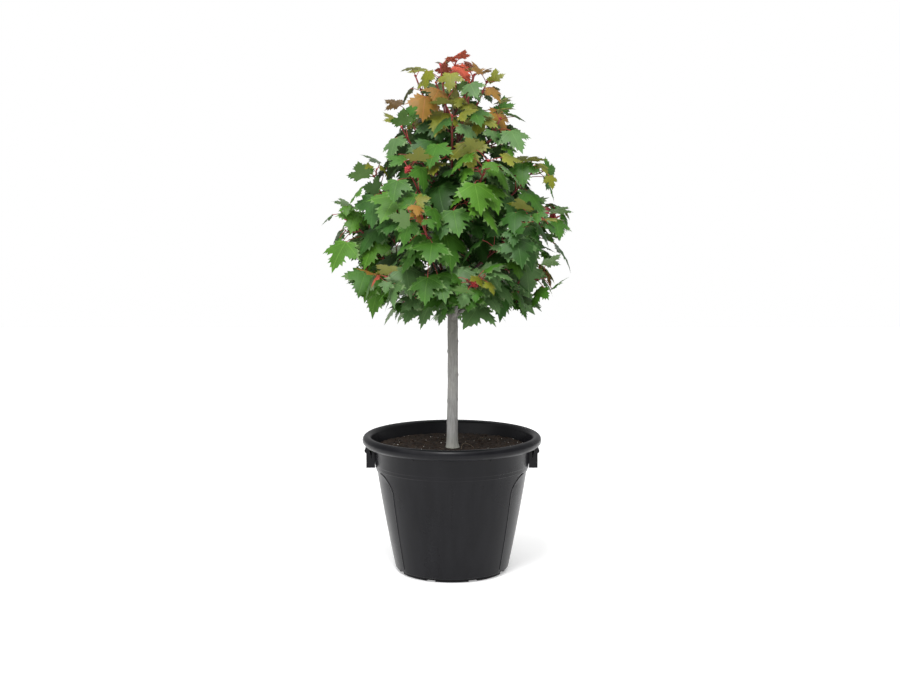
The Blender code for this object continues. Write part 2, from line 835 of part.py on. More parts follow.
def blade_at(mass, share):
    """Blades get smaller towards the young end of a shoot."""
    young = max(0.0, share - SHRINK_FROM) / (1.0 - SHRINK_FROM)
    return mass.blade * (1.0 - SHRINK_BY * young)


def grow_side_twig(mass, rng, crown, root, heading, turn):
    """The points of a side twig, or None where it has no room."""
    helper = Vector((0.0, 0.0, 1.0))
    across = heading.cross(helper).normalized()
    side = Matrix.Rotation(turn, 3, heading) @ across
    half = mass.blade * rng.uniform(*SIDE_LENGTH) / 2
    way = (heading * SIDE_ALONG + side * SIDE_OUTWARD).normalized()
    bend = (way + Vector((0.0, 0.0, SIDE_UPTURN))).normalized()
    middle = root + way * half
    points = [root, root + way * SIDE_TWIG_SWELL, middle, middle + bend * half]
    room = [root + way * ROOT_CLEARANCE, *points[2:]]
    shape = tube_shape(room, [SIDE_TWIG + SIDE_ROOM] * len(room))
    whole = tube_shape(points, [SIDE_TWIG + SIDE_ROOM] * len(points))
    if crown.crosses(shape, mass.name, True) or crown.crosses(whole, mass.name, False):
        return None
    crown.add(mass.name, *shape)
    return points


def grow_mass(mass, rng, crown):
    """Side twigs and leaves of a mass, by the seeded rule."""
    twigs, leaves = [], []
    spin = rng.uniform(0.0, math.pi)
    for pair in range(mass.pairs):
        share = (pair + FIRST_PAIR) / mass.pairs
        root, heading = path_point(mass.stem, share)
        roll = spin + pair * PAIR_TURN
        size = blade_at(mass, share) * rng.uniform(*BLADE_SPREAD)
        for half in range(2):
            turn = roll + math.pi * half
            twig = None
            if 1 <= pair <= mass.side_twigs:
                twig = grow_side_twig(mass, rng, crown, root, heading, turn)
            if twig is None:
                leaf = grow_leaf(rng, crown, mass.name, root, heading, turn, size)
                if leaf:
                    leaves.append(leaf)
                continue
            twigs.append(twig)
            node, way = path_point(twig, SIDE_NODE)
            tip = twig[-1] - (twig[-1] - twig[-2]).normalized() * SIDE_TIP_INSET
            places = (node, node, tip)
            turns = (turn + SIDE_TURN, turn + SIDE_TURN + math.pi, turn)
            for place, side_turn, scale in zip(places, turns, SIDE_BLADES):
                leaf = grow_leaf(rng, crown, mass.name, place, way, side_turn, size * scale)
                if leaf:
                    leaves.append(leaf)
    end, heading = path_point(mass.stem, TIP_SHARE)
    size = mass.blade * TIP_BLADE
    for half in range(2):
        turn = spin + TIP_TURN + math.pi * half
        leaf = grow_leaf(rng, crown, mass.name, end, heading, turn, size, mass.young_droop)
        if leaf:
            leaves.append(leaf)
    return twigs, leaves


def grow_tree(seed):
    """Boughs, shoots, and the twigs and leaves of each shoot, the same for a seed."""
    rng = random.Random(seed)
    crown = Crown()
    heights = [height for height, _ in TRUNK]
    radii = [radius for _, radius in TRUNK]
    axis = [trunk_axis(height) for height in heights]
    crown.add("trunk", *tube_shape(axis, radii, TRUNK_SIDES))
    boughs, masses = plan_limbs(rng)
    masses.append(leader())
    for name, points, radii in boughs:
        crown.add(name, *tube_shape(points, radii, BOUGH_SIDES))
    for mass in masses:
        crown.add(mass.name, *tube_shape(mass.stem, mass.radii))
    grown = [grow_mass(mass, rng, crown) for mass in masses]
    return boughs, masses, grown


def build_mass(mass, twigs, leaves, parts, trunk_cutter, finish):
    """Joins a shoot's twigs, leaves and bud into one solid."""
    body = loft(mass.name, tube_shape(mass.stem, mass.radii), parts)
    spare = new_collection(mass.name + "_pieces")
    for twig in twigs:
        radii = [SIDE_TWIG_ROOT, SIDE_TWIG, SIDE_TWIG, SIDE_TWIG]
        loft("twig", tube_shape(twig, radii), spare)
    for leaf in leaves:
        loft("leaf", leaf_shape(leaf), spare)
    if mass.tip_bud:
        bm = bmesh.new()
        place = Matrix.Translation(mass.stem[-1])
        bmesh.ops.create_icosphere(bm, subdivisions=1, radius=BUD_RADIUS, matrix=place)
        add_object("bud", mesh_from_bmesh("bud", bm), spare)
    combine(body, spare, "UNION", "MANIFOLD")
    empty(spare)
    if mass.from_trunk:
        combine(body, trunk_cutter, "DIFFERENCE", "MANIFOLD")
    keep_largest(body.data)
    body.data.materials.clear()
    body.data.materials.append(finish)
    return body


def split_quads(bm):
    """Splits each four-sided face along the diagonal that stays inside it."""
    for face in [face for face in bm.faces if len(face.verts) == 4]:
        a, b, c, d = face.verts
        first = (b.co - a.co).cross(c.co - a.co)
        second = (c.co - a.co).cross(d.co - a.co)
        ends = (a, c) if first.dot(second) > 0.0 else (b, d)
        bmesh.utils.face_split(face, *ends)


def keep_largest(mesh):
    """Drops the points that bend nothing and the loose scraps of a joined mass."""
    bm = bmesh.new()
    bm.from_mesh(mesh)
    straight = [vertex for vertex in bm.verts if len(vertex.link_edges) == 2]
    bmesh.ops.dissolve_verts(bm, verts=straight)
    split_quads(bm)
    bmesh.ops.triangulate(bm, faces=bm.faces, ngon_method="EAR_CLIP")
    left = set(bm.faces)
    groups = []
    while left:
        group, front = set(), [left.pop()]
        while front:
            face = front.pop()
            group.add(face)
            for edge in face.edges:
                for other in edge.link_faces:
                    if other in left:
                        left.remove(other)
                        front.append(other)
        groups.append(group)
    largest = max(groups, key=len)
    scraps = [face for group in groups if group is not largest for face in group]
    bmesh.ops.delete(bm, geom=scraps, context="FACES")
    bm.to_mesh(mesh)
    bm.free()


def main():
    """Builds the pot, the soil, the trunk and the crown."""
    clear_scene()
    parts = new_collection("potted_maple")
    cutters = new_collection("cutters")
    plastic = material("black_plastic", (0.028, 0.028, 0.031), 0.42)
    earth = material("potting_soil", (0.045, 0.028, 0.017), 0.95)
    bark = material("grey_bark", (0.27, 0.26, 0.24), 0.80)
    green = material("leaf_green", (0.055, 0.155, 0.040), 0.55)

    make_pot(parts, cutters, plastic)
    make_lug("lug_right", 1, parts, cutters, plastic)
    make_lug("lug_left", -1, parts, cutters, plastic)
    make_soil(parts, earth)
    make_trunk("trunk", parts).data.materials.append(bark)
    trunk_cutter = as_cutter(make_trunk("trunk_cutter", cutters, TRUNK_CLEARANCE))

    boughs, masses, grown = grow_tree(SEED)
    for name, points, radii in boughs:
        bough = round_limb(name, points, radii, 1, parts)
        combine(bough, trunk_cutter, "DIFFERENCE")
        bough.data.materials.clear()
        bough.data.materials.append(bark)
    for mass, (twigs, leaves) in zip(masses, grown):
        build_mass(mass, twigs, leaves, parts, trunk_cutter, green)


main()
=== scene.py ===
"""The looks of a young red maple in a round nursery pot.

Metres, +Z up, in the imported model's own frame: the origin is the centre of the
pot's flat underside, +X is the tree's right-hand side and -Y its front.
"""

import logging
import math
import random
from collections.abc import Iterable, Sequence
from dataclasses import dataclass, field
from enum import Enum

import bmesh
import bpy
from mathutils import Matrix, Vector, noise
from mathutils.bvhtree import BVHTree
from mathutils.geometry import delaunay_2d_cdt


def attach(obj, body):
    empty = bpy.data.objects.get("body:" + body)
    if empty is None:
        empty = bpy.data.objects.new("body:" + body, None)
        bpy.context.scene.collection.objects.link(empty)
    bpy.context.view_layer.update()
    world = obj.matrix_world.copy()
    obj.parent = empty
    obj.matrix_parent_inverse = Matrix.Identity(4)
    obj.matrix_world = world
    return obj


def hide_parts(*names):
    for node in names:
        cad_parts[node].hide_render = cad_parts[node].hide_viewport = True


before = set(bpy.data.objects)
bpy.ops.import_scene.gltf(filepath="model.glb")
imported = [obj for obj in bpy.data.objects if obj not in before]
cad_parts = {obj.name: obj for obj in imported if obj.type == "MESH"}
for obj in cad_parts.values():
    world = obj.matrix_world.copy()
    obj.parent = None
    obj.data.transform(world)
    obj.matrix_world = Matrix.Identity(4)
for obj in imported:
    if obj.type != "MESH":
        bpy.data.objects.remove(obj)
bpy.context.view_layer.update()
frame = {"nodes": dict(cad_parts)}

LOG = logging.getLogger("potted_maple")

Colour = tuple[float, float, float]
Profile = list[tuple[float, float]]
Shape = tuple[list[Vector], list[tuple[int, ...]]]

UP = Vector((0.0, 0.0, 1.0))
GAP = 0.0003

# Pot sizes that its own pieces and the soil share
POT_HEIGHT = 0.352
WALL = 0.003
RIM_RADIUS = 0.2303
RIM_BOTTOM = 0.3255
BAND_TOP_RADIUS = 0.2010
BAND_FOOT_RADIUS = 0.1990
BAND_FOOT = 0.278
LIP_FOOT = 0.322
BODY_FOOT = 0.006
BODY_MID = 0.130
BODY_TOP = 0.269
BODY_FOOT_RADIUS = 0.1485
BODY_MID_RADIUS = 0.1730
BODY_TOP_RADIUS = 0.1965
FLOOR_TOP = 0.0095
SOIL_TOP = 0.317


# Finishes


class Graph:
    """The nodes of one procedural material, added by name and linked."""

    def __init__(self, name: str, roughness: float) -> None:
        """Starts a material.

        Args:
            name: The material's name.
            roughness: Its roughness where nothing is linked to it.
        """
        self.material = bpy.data.materials.new(name)
        self.material.use_nodes = True
        self.nodes = self.material.node_tree.nodes
        self.links = self.material.node_tree.links
        self.shader = self.nodes["Principled BSDF"]
        self.shader.inputs["Roughness"].default_value = roughness

    def feed(self, socket: bpy.types.NodeSocket, source: object) -> None:
        """Gives a socket its value.

        Args:
            socket: The input that is set.
            source: Another node's output, a number, or a colour of three parts.
        """
        if isinstance(source, bpy.types.NodeSocket):
            self.links.new(source, socket)
        elif isinstance(source, tuple) and len(source) == 3 and socket.type == "RGBA":
            socket.default_value = (*source, 1.0)
        else:
            socket.default_value = source

    def place(self, scale: tuple[float, float, float] = (1.0, 1.0, 1.0)) -> bpy.types.NodeSocket:
        """Object coordinates.

        Args:
            scale: How many times finer the pattern is along each axis.

        Returns:
            The vector output.
        """
        mapping = self.nodes.new("ShaderNodeMapping")
        mapping.inputs["Scale"].default_value = scale
        source = self.nodes.new("ShaderNodeTexCoord").outputs["Object"]
        self.links.new(source, mapping.inputs["Vector"])
        return mapping.outputs["Vector"]

    def grain(
        self, vector: bpy.types.NodeSocket, scale: float, detail: float = 3.0
    ) -> bpy.types.NodeSocket:
        """A noise pattern.

        Args:
            vector: Where the pattern is read.
            scale: How fine it is.
            detail: How many finer layers it carries.

        Returns:
            The pattern's value, from 0 to 1.
        """
        made = self.nodes.new("ShaderNodeTexNoise")
        made.inputs["Scale"].default_value = scale
        made.inputs["Detail"].default_value = detail
        self.links.new(vector, made.inputs["Vector"])
        return made.outputs["Fac"]

    def cells(self, vector: bpy.types.NodeSocket, scale: float) -> bpy.types.NodeSocket:
        """Distance from the nearest of many scattered points.

        Args:
            vector: Where the pattern is read.
            scale: How many points stand in a metre.

        Returns:
            The distance output.
        """
        made = self.nodes.new("ShaderNodeTexVoronoi")
        made.inputs["Scale"].default_value = scale
        self.links.new(vector, made.inputs["Vector"])
        return made.outputs["Distance"]

    def maths(self, operation: str, first: object, second: object = 0.0) -> bpy.types.NodeSocket:
        """One sum on two values.

        Args:
            operation: The sum's name, as the node has it.
            first: An output or a number.
            second: An output or a number.

        Returns:
            The result.
        """
        made = self.nodes.new("ShaderNodeMath")
        made.operation = operation
        self.feed(made.inputs[0], first)
        self.feed(made.inputs[1], second)
        return made.outputs["Value"]

    def span(
        self,
        value: bpy.types.NodeSocket,
        low: float,
        high: float,
        to_low: float = 0.0,
        to_high: float = 1.0,
    ) -> bpy.types.NodeSocket:
        """Carries one range of a value onto another, held at both ends.

        Args:
            value: The value that is read.
            low: Where the range starts.
            high: Where it ends.
            to_low: The result at its start.
            to_high: The result at its end.

        Returns:
            The result.
        """
        made = self.nodes.new("ShaderNodeMapRange")
        for name, number in (
            ("From Min", low),
            ("From Max", high),
            ("To Min", to_low),
            ("To Max", to_high),
        ):
            made.inputs[name].default_value = number
        self.links.new(value, made.inputs["Value"])
        return made.outputs["Result"]

    def mixed(self, share: object, first: object, second: object) -> bpy.types.NodeSocket:
        """A blend of two colours.

        Args:
            share: How much of the second colour shows.
            first: The first colour or output.
            second: The second colour or output.

        Returns:
            The blended colour.
        """
        made = self.nodes.new("ShaderNodeMix")
        made.data_type = "RGBA"
        self.feed(made.inputs["Factor"], share)
        colours = [socket for socket in made.inputs if socket.type == "RGBA"]
        self.feed(colours[0], first)
        self.feed(colours[1], second)
        return [socket for socket in made.outputs if socket.type == "RGBA"][0]

    def marked(self, name: str) -> bpy.types.NodeSocket:
        """The value of one of the mesh's own attributes."""
        made = self.nodes.new("ShaderNodeAttribute")
        made.attribute_name = name
        return made.outputs["Fac"]

    def relief(self, height: bpy.types.NodeSocket, strength: float, distance: float) -> None:
        """Bumps the surface.

        Args:
            height: The relief's height, from 0 to 1.
            strength: How much of it shows.
            distance: How high a full step stands, in metres.
        """
        made = self.nodes.new("ShaderNodeBump")
        made.inputs["Strength"].default_value = strength
        made.inputs["Distance"].default_value = distance
        self.links.new(height, made.inputs["Height"])
        self.links.new(made.outputs["Normal"], self.shader.inputs["Normal"])

    def finished(self, colour: object, roughness: object = None) -> bpy.types.Material:
        """Gives the surface its colour and roughness.

        Args:
            colour: The base colour or an output.
            roughness: An output, where the roughness varies.

        Returns:
            The material.
        """
        self.feed(self.shader.inputs["Base Color"], colour)
        if roughness is not None:
            self.feed(self.shader.inputs["Roughness"], roughness)
        return self.material


@dataclass(frozen=True)
class PlasticFinish:
    """Satin black moulded plastic with faint draw streaks and a little dust."""

    dark: Colour = (0.0042, 0.0042, 0.0056)
    light: Colour = (0.0076, 0.0076, 0.0096)
    dust: Colour = (0.0360, 0.0340, 0.0320)

    def build(self) -> bpy.types.Material:
        """Returns the material."""
        graph = Graph("black_plastic_finish", 0.40)
        streaks = graph.grain(graph.place((1.0, 1.0, 0.10)), 42.0, 4.0)
        cloudy = graph.grain(graph.place(), 6.5, 4.0)
        body = graph.mixed(graph.span(streaks, 0.35, 0.70), self.dark, self.light)
        body = graph.mixed(graph.span(cloudy, 0.40, 0.75, 0.0, 0.55), body, self.light)
        specks = graph.span(graph.grain(graph.place(), 210.0, 5.0), 0.66, 0.78, 0.0, 0.30)
        body = graph.mixed(specks, body, self.dust)
        fine = graph.grain(graph.place(), 1500.0, 2.0)
        height = graph.maths("ADD", graph.maths("MULTIPLY", fine, 0.5), streaks)
        graph.relief(height, 0.16, 0.0006)
        graph.shader.inputs["Specular IOR Level"].default_value = 0.18
        return graph.finished(body, graph.span(cloudy, 0.30, 0.75, 0.25, 0.34))


@dataclass(frozen=True)
class EarthFinish:
    """Damp potting mix, or one of the bits that lie in it."""

    name: str
    dark: Colour
    light: Colour
    pale: Colour
    fineness: float = 70.0

    def build(self) -> bpy.types.Material:
        """Returns the material."""
        graph = Graph(self.name, 0.92)
        broad = graph.grain(graph.place(), self.fineness, 6.0)
        crumbs = graph.cells(graph.place(), self.fineness * 5.0)
        colour = graph.mixed(graph.span(broad, 0.34, 0.64), self.dark, self.light)
        colour = graph.mixed(graph.span(crumbs, 0.55, 0.05, 0.0, 0.35), colour, self.pale)
        height = graph.maths("ADD", broad, graph.maths("MULTIPLY", crumbs, 0.6))
        graph.relief(height, 0.75, 0.0025)
        graph.shader.inputs["Specular IOR Level"].default_value = 0.25
        return graph.finished(colour)


@dataclass(frozen=True)
class BarkFinish:
    """Smooth young bark, pale at the foot and darker up through the crown."""

    pale: Colour = (0.470, 0.466, 0.456)
    dark: Colour = (0.135, 0.128, 0.114)
    twig: Colour = (0.062, 0.040, 0.030)
    moss: Colour = (0.250, 0.260, 0.190)
    spots: Colour = (0.520, 0.500, 0.460)

    def build(self) -> bpy.types.Material:
        """Returns the material."""
        graph = Graph("grey_bark_finish", 0.78)
        split = graph.nodes.new("ShaderNodeSeparateXYZ")
        graph.links.new(graph.place(), split.inputs["Vector"])
        height = split.outputs["Z"]
        colour = graph.mixed(graph.span(height, 0.400, 0.660), self.pale, self.dark)
        colour = graph.mixed(graph.span(height, 0.682, 1.042), colour, self.twig)
        foot = graph.span(height, 0.357, 0.317, 0.0, 0.55)
        colour = graph.mixed(foot, colour, self.moss)
        streaks = graph.grain(graph.place((1.0, 1.0, 0.16)), 230.0, 5.0)
        shade = graph.span(streaks, 0.34, 0.66, 0.0, 0.42)
        colour = graph.mixed(shade, colour, self.dark)
        mottle = graph.grain(graph.place((1.0, 1.0, 0.6)), 55.0, 5.0)
        colour = graph.mixed(graph.span(mottle, 0.52, 0.72, 0.0, 0.35), colour, self.spots)
        pores = graph.cells(graph.place((1.0, 1.0, 3.2)), 78.0)
        dots = graph.span(pores, 0.13, 0.05, 0.0, 0.55)
        colour = graph.mixed(dots, colour, self.spots)
        lift = graph.maths("ADD", graph.maths("MULTIPLY", dots, 0.8), streaks)
        graph.relief(lift, 0.65, 0.0009)
        return graph.finished(colour, graph.span(mottle, 0.30, 0.70, 0.70, 0.88))


@dataclass(frozen=True)
class ShootFinish:
    """Young wood: brown where it is old and dark red towards its tip."""

    name: str
    old: Colour
    young: Colour
    shine: float = 0.42

    def build(self) -> bpy.types.Material:
        """Returns the material."""
        graph = Graph(self.name, self.shine)
        colour = graph.mixed(graph.marked("age"), self.old, self.young)
        patchy = graph.grain(graph.place(), 120.0, 4.0)
        colour = graph.mixed(graph.span(patchy, 0.40, 0.70, 0.0, 0.45), colour, self.old)
        graph.relief(graph.grain(graph.place(), 420.0, 3.0), 0.35, 0.0006)
        return graph.finished(colour, graph.span(patchy, 0.3, 0.7, self.shine, self.shine + 0.18))


class Tint(Enum):
    """Colours of the leaves: upper side, underside, veins; some are darkened, lightened or greyed copies of the mid
    green that carry painted shade, painted light and painted sheen.
    """

    # Painted shade: the mid green darkened, for leaves deep in the crown.
    DEEP = ((0.022, 0.076, 0.009), (0.055, 0.110, 0.032), (0.045, 0.125, 0.020))
    MID = ((0.046, 0.148, 0.012), (0.100, 0.185, 0.050), (0.095, 0.225, 0.028))
    # Painted light: the mid green lightened, as on leaves that catch the lamps.
    BRIGHT = ((0.072, 0.200, 0.014), (0.125, 0.225, 0.060), (0.135, 0.290, 0.036))
    # Painted sheen: the mid green greyed, standing in for the waxy reflection of the sky.
    GREY = ((0.098, 0.200, 0.062), (0.155, 0.235, 0.100), (0.165, 0.280, 0.095))
    # Painted shade: the mid green darkened, a step lighter than the deepest.
    SHADE = ((0.034, 0.112, 0.016), (0.075, 0.145, 0.046), (0.068, 0.170, 0.034))
    OLIVE = ((0.170, 0.190, 0.012), (0.200, 0.210, 0.050), (0.290, 0.260, 0.034))
    BRONZE = ((0.280, 0.150, 0.022), (0.260, 0.150, 0.055), (0.400, 0.130, 0.045))
    RED = ((0.500, 0.085, 0.045), (0.430, 0.110, 0.070), (0.620, 0.120, 0.070))
    PINK = ((0.460, 0.060, 0.085), (0.400, 0.090, 0.100), (0.580, 0.090, 0.110))


@dataclass(frozen=True)
class LeafFinish:
    """A lobed leaf's skin with paler ribs, drawn from its own flat map."""

    tint: Tint

    def ribs(self, graph: Graph) -> bpy.types.NodeSocket:
        """The ribs and finer veins of a blade.

        Args:
            graph: The material that they belong to.

        Returns:
            How strongly a vein shows, from 0 to 1.
        """
        flat = graph.nodes.new("ShaderNodeUVMap")
        flat.uv_map = "blade"
        split = graph.nodes.new("ShaderNodeSeparateXYZ")
        graph.links.new(flat.outputs["UV"], split.inputs["Vector"])
        across = graph.maths("ABSOLUTE", split.outputs["X"])
        along = split.outputs["Y"]
        slope = graph.maths("MULTIPLY", across, 0.49)
        lobe = graph.maths("SUBTRACT", slope, graph.maths("MULTIPLY", along, 0.872))
        nearest = graph.maths("MINIMUM", across, graph.maths("ABSOLUTE", lobe))
        nearest = graph.maths("MINIMUM", nearest, graph.maths("ABSOLUTE", along))
        main = graph.span(nearest, 0.016, 0.004)
        rows = graph.maths("SUBTRACT", along, graph.maths("MULTIPLY", across, 0.85))
        fine = graph.span(graph.maths("PINGPONG", rows, 0.045), 0.008, 0.0, 0.0, 0.45)
        return graph.maths("MAXIMUM", main, fine)

    def build(self) -> bpy.types.Material:
        """Returns the material."""
        upper, under, vein = self.tint.value
        graph = Graph(f"leaf_{self.tint.name.lower()}_finish", 0.46)
        veins = self.ribs(graph)
        patchy = graph.grain(graph.place(), 14.0, 4.0)
        darker = tuple(part * 0.66 for part in upper)
        colour = graph.mixed(graph.span(patchy, 0.36, 0.66), darker, upper)
        colour = graph.mixed(graph.maths("MULTIPLY", veins, 0.55), colour, vein)
        below = graph.mixed(graph.maths("MULTIPLY", veins, 0.35), under, vein)
        colour = graph.mixed(graph.marked("underside"), colour, below)
        mottle = graph.grain(graph.place(), 160.0, 4.0)
        height = graph.maths("SUBTRACT", graph.maths("MULTIPLY", mottle, 0.6), veins)
        graph.relief(height, 0.30, 0.0008)
        graph.shader.inputs["Specular IOR Level"].default_value = 0.28
        return graph.finished(colour, graph.span(patchy, 0.3, 0.7, 0.42, 0.56))


# Modelling steps


def deselect() -> None:
    """Leaves nothing selected."""
    bpy.ops.object.select_all(action="DESELECT")


def take(piece: bpy.types.Object) -> None:
    """Makes a piece the only selected and the active one."""
    deselect()
    piece.select_set(True)
    bpy.context.view_layer.objects.active = piece


def named(name: str) -> bpy.types.Object:
    """Names the piece that was just added and writes its place into its mesh.

    Args:
        name: The piece's name.

    Returns:
        The piece.
    """
    piece = bpy.context.object
    piece.name = name
    piece.data.name = name
    bpy.ops.object.transform_apply(location=True, rotation=True, scale=True)
    return piece


def modify(piece: bpy.types.Object, kind: str, **settings: object) -> None:
    """Adds one modifier to a piece and applies it.

    Args:
        piece: The piece that changes.
        kind: The modifier's type.
        settings: The modifier's settings by name.
    """
    take(piece)
    step = piece.modifiers.new(kind.title(), kind)
    for key, value in settings.items():
        setattr(step, key, value)
    bpy.ops.object.modifier_apply(modifier=step.name)


def cut(piece: bpy.types.Object, cutter: bpy.types.Object, operation: str = "DIFFERENCE") -> None:
    """Cuts a piece with another, or joins the two, and removes the other.

    Args:
        piece: The piece that changes.
        cutter: The other piece.
        operation: DIFFERENCE or UNION.
    """
    modify(piece, "BOOLEAN", object=cutter, operation=operation, solver="EXACT")
    bpy.data.objects.remove(cutter, do_unlink=True)


def block(name: str, low: Sequence[float], high: Sequence[float]) -> bpy.types.Object:
    """A box between two corners.

    Args:
        name: The piece's name.
        low: Its lowest corner.
        high: Its highest corner.

    Returns:
        The piece.
    """
    deselect()
    middle = [(a + b) / 2 for a, b in zip(low, high)]
    sides = [b - a for a, b in zip(low, high)]
    bpy.ops.mesh.primitive_cube_add(size=1.0, location=middle, scale=sides)
    return named(name)


def turned(name: str, profile: Profile, sides: int) -> bpy.types.Object:
    """Draws a ring up through a profile, ring by ring, and closes both ends.

    Args:
        name: The piece's name.
        profile: Radius and height of each ring.
        sides: How many sides a ring has.

    Returns:
        The piece.
    """
    deselect()
    radius, height = profile[0]
    bpy.ops.mesh.primitive_circle_add(vertices=sides, radius=radius, location=(0, 0, height))
    piece = named(name)
    bpy.ops.object.mode_set(mode="EDIT")
    bpy.ops.mesh.select_all(action="SELECT")
    for (was, low), (now, high) in zip(profile, profile[1:]):
        bpy.ops.mesh.extrude_region_move(TRANSFORM_OT_translate={"value": (0, 0, high - low)})
        grown = now / was
        bpy.ops.transform.resize(value=(grown, grown, 1.0), center_override=(0, 0, high))
    bpy.ops.mesh.select_all(action="SELECT")
    bpy.ops.mesh.fill_holes(sides=0)
    bpy.ops.mesh.select_all(action="SELECT")
    bpy.ops.mesh.normals_make_consistent(inside=False)
    bpy.ops.object.mode_set(mode="OBJECT")
    return piece


def prism(name: str, outline: Sequence[Vector], push: Vector) -> bpy.types.Object:
    """A flat outline pushed out into a solid.

    Args:
        name: The piece's name.
        outline: The corners of the flat face.
        push: How far and which way it is pushed.

    Returns:
        The piece.
    """
    deselect()
    bpy.ops.mesh.primitive_circle_add(vertices=len(outline), radius=0.01, fill_type="NGON")
    piece = named(name)
    for vertex, corner in zip(piece.data.vertices, outline):
        vertex.co = corner
    bpy.ops.object.mode_set(mode="EDIT")
    bpy.ops.mesh.select_all(action="SELECT")
    bpy.ops.mesh.extrude_region_move(TRANSFORM_OT_translate={"value": tuple(push)})
    bpy.ops.mesh.select_all(action="SELECT")
    bpy.ops.mesh.fill_holes(sides=0)
    bpy.ops.mesh.select_all(action="SELECT")
    bpy.ops.mesh.normals_make_consistent(inside=False)
    bpy.ops.object.mode_set(mode="OBJECT")
    return piece


def smooth(piece: bpy.types.Object, degrees: float) -> None:
    """Shades a piece smooth up to an angle between its faces."""
    take(piece)
    bpy.ops.object.shade_smooth_by_angle(angle=math.radians(degrees))


def dress(
    piece: bpy.types.Object, finish: bpy.types.Material, nodes: Iterable[str] = ()
) -> bpy.types.Object:
    """Gives a finished piece its material and its place in the model.

    Args:
        piece: The piece.
        finish: Its material.
        nodes: The solids that it stands for.

    Returns:
        The piece.
    """
    piece.data.materials.clear()
    piece.data.materials.append(finish)
    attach(piece, "root")
    if nodes:
        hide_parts(*nodes)
    return piece


def moved_out(piece: bpy.types.Object, height: "callable") -> None:
    """Moves each point of a piece along its normal.

    Args:
        piece: The piece that changes.
        height: Gives the distance for a point.
    """
    mesh = piece.data
    steps = [vertex.normal * height(vertex.co) for vertex in mesh.vertices]
    for vertex, step in zip(mesh.vertices, steps):
        vertex.co += step


def limb(
    name: str, points: Sequence[Vector], radii: Sequence[float], roundness: int
) -> bpy.types.Object:
    """A tapering limb drawn as a curve and turned into a closed mesh.

    Args:
        name: The piece's name.
        points: The points that it runs through.
        radii: Its radius at each point.
        roundness: How round it is, as the curve's own setting.

    Returns:
        The piece.
    """
    deselect()
    bpy.ops.curve.primitive_bezier_curve_add()
    curve = bpy.context.object
    curve.data.splines.clear()
    curve.data.dimensions = "3D"
    curve.data.bevel_depth = 1.0
    curve.data.bevel_resolution = roundness
    curve.data.use_fill_caps = True
    spline = curve.data.splines.new("POLY")
    spline.points.add(len(points) - 1)
    for target, point, radius in zip(spline.points, points, radii):
        target.co = (*point, 1.0)
        target.radius = radius
    curve.name = name
    take(curve)
    bpy.ops.object.convert(target="MESH")
    piece = named(name)
    bpy.ops.object.mode_set(mode="EDIT")
    bpy.ops.mesh.select_all(action="SELECT")
    bpy.ops.mesh.remove_doubles(threshold=0.00001)
    bpy.ops.mesh.normals_make_consistent(inside=False)
    bpy.ops.object.mode_set(mode="OBJECT")
    return piece


def joined(name: str, pieces: Sequence[bpy.types.Object]) -> bpy.types.Object:
    """Joins several pieces into one.

    Args:
        name: The name of the whole.
        pieces: The pieces.

    Returns:
        The whole.
    """
    deselect()
    for piece in pieces:
        piece.select_set(True)
    bpy.context.view_layer.objects.active = pieces[0]
    bpy.ops.object.join()
    whole = bpy.context.object
    whole.name = name
    whole.data.name = name
    return whole


class Heap:
    """Copies of small shapes gathered into one mesh."""

    def __init__(self, name: str) -> None:
        """An empty heap with the name of the piece that it becomes."""
        self.name = name
        self.points: list[Vector] = []
        self.faces: list[tuple[int, ...]] = []
        self.flat: list[tuple[float, float]] = []
        self.marks: list[float] = []

    def add(
        self,
        shape: Shape,
        marks: Sequence[float] | float = 0.0,
        flat: Sequence[tuple[float, float]] | None = None,
    ) -> None:
        """Adds one closed shape.

        Args:
            shape: Its points and faces.
            marks: The value of each face, or one for all of them.
            flat: The place of each point on the shape's own flat map.
        """
        points, faces = shape
        first = len(self.points)
        self.points.extend(points)
        self.faces.extend(tuple(first + index for index in face) for face in faces)
        self.marks.extend([marks] * len(faces) if isinstance(marks, float) else marks)
        self.flat.extend(flat or [(0.0, 0.0)] * len(points))

    def build(self, mark: str = "age") -> bpy.types.Object:
        """Makes the piece.

        Args:
            mark: The name under which each face keeps its value.

        Returns:
            The piece, smooth within each side of a shape.
        """
        mesh = bpy.data.meshes.new(self.name)
        mesh.from_pydata(self.points, [], self.faces)
        layer = mesh.uv_layers.new(name="blade")
        corners = [self.flat[loop.vertex_index] for loop in mesh.loops]
        layer.data.foreach_set("uv", [part for corner in corners for part in corner])
        mesh.attributes.new(mark, "FLOAT", "FACE").data.foreach_set("value", self.marks)
        mesh.shade_smooth()
        if mark == "underside":
            bm = bmesh.new()
            bm.from_mesh(mesh)
            bm.faces.ensure_lookup_table()
            for edge in bm.edges:
                sides = [self.marks[face.index] for face in edge.link_faces]
                edge.smooth = len(set(sides)) == 1
            bm.to_mesh(mesh)
            bm.free()
        mesh.validate()
        piece = bpy.data.objects.new(self.name, mesh)
        bpy.context.scene.collection.objects.link(piece)
        return piece


# Growth: the same rule, sizes and draws as the solids


@dataclass(frozen=True)
class Storey:
    """Limbs that leave the trunk at about one height."""

    name: str
    foot: float
    rise: float
    reach: float
    arch: float
    bare: float
    blade: float
    pairs: int
    side_twigs: int
    azimuths: tuple[int, ...]


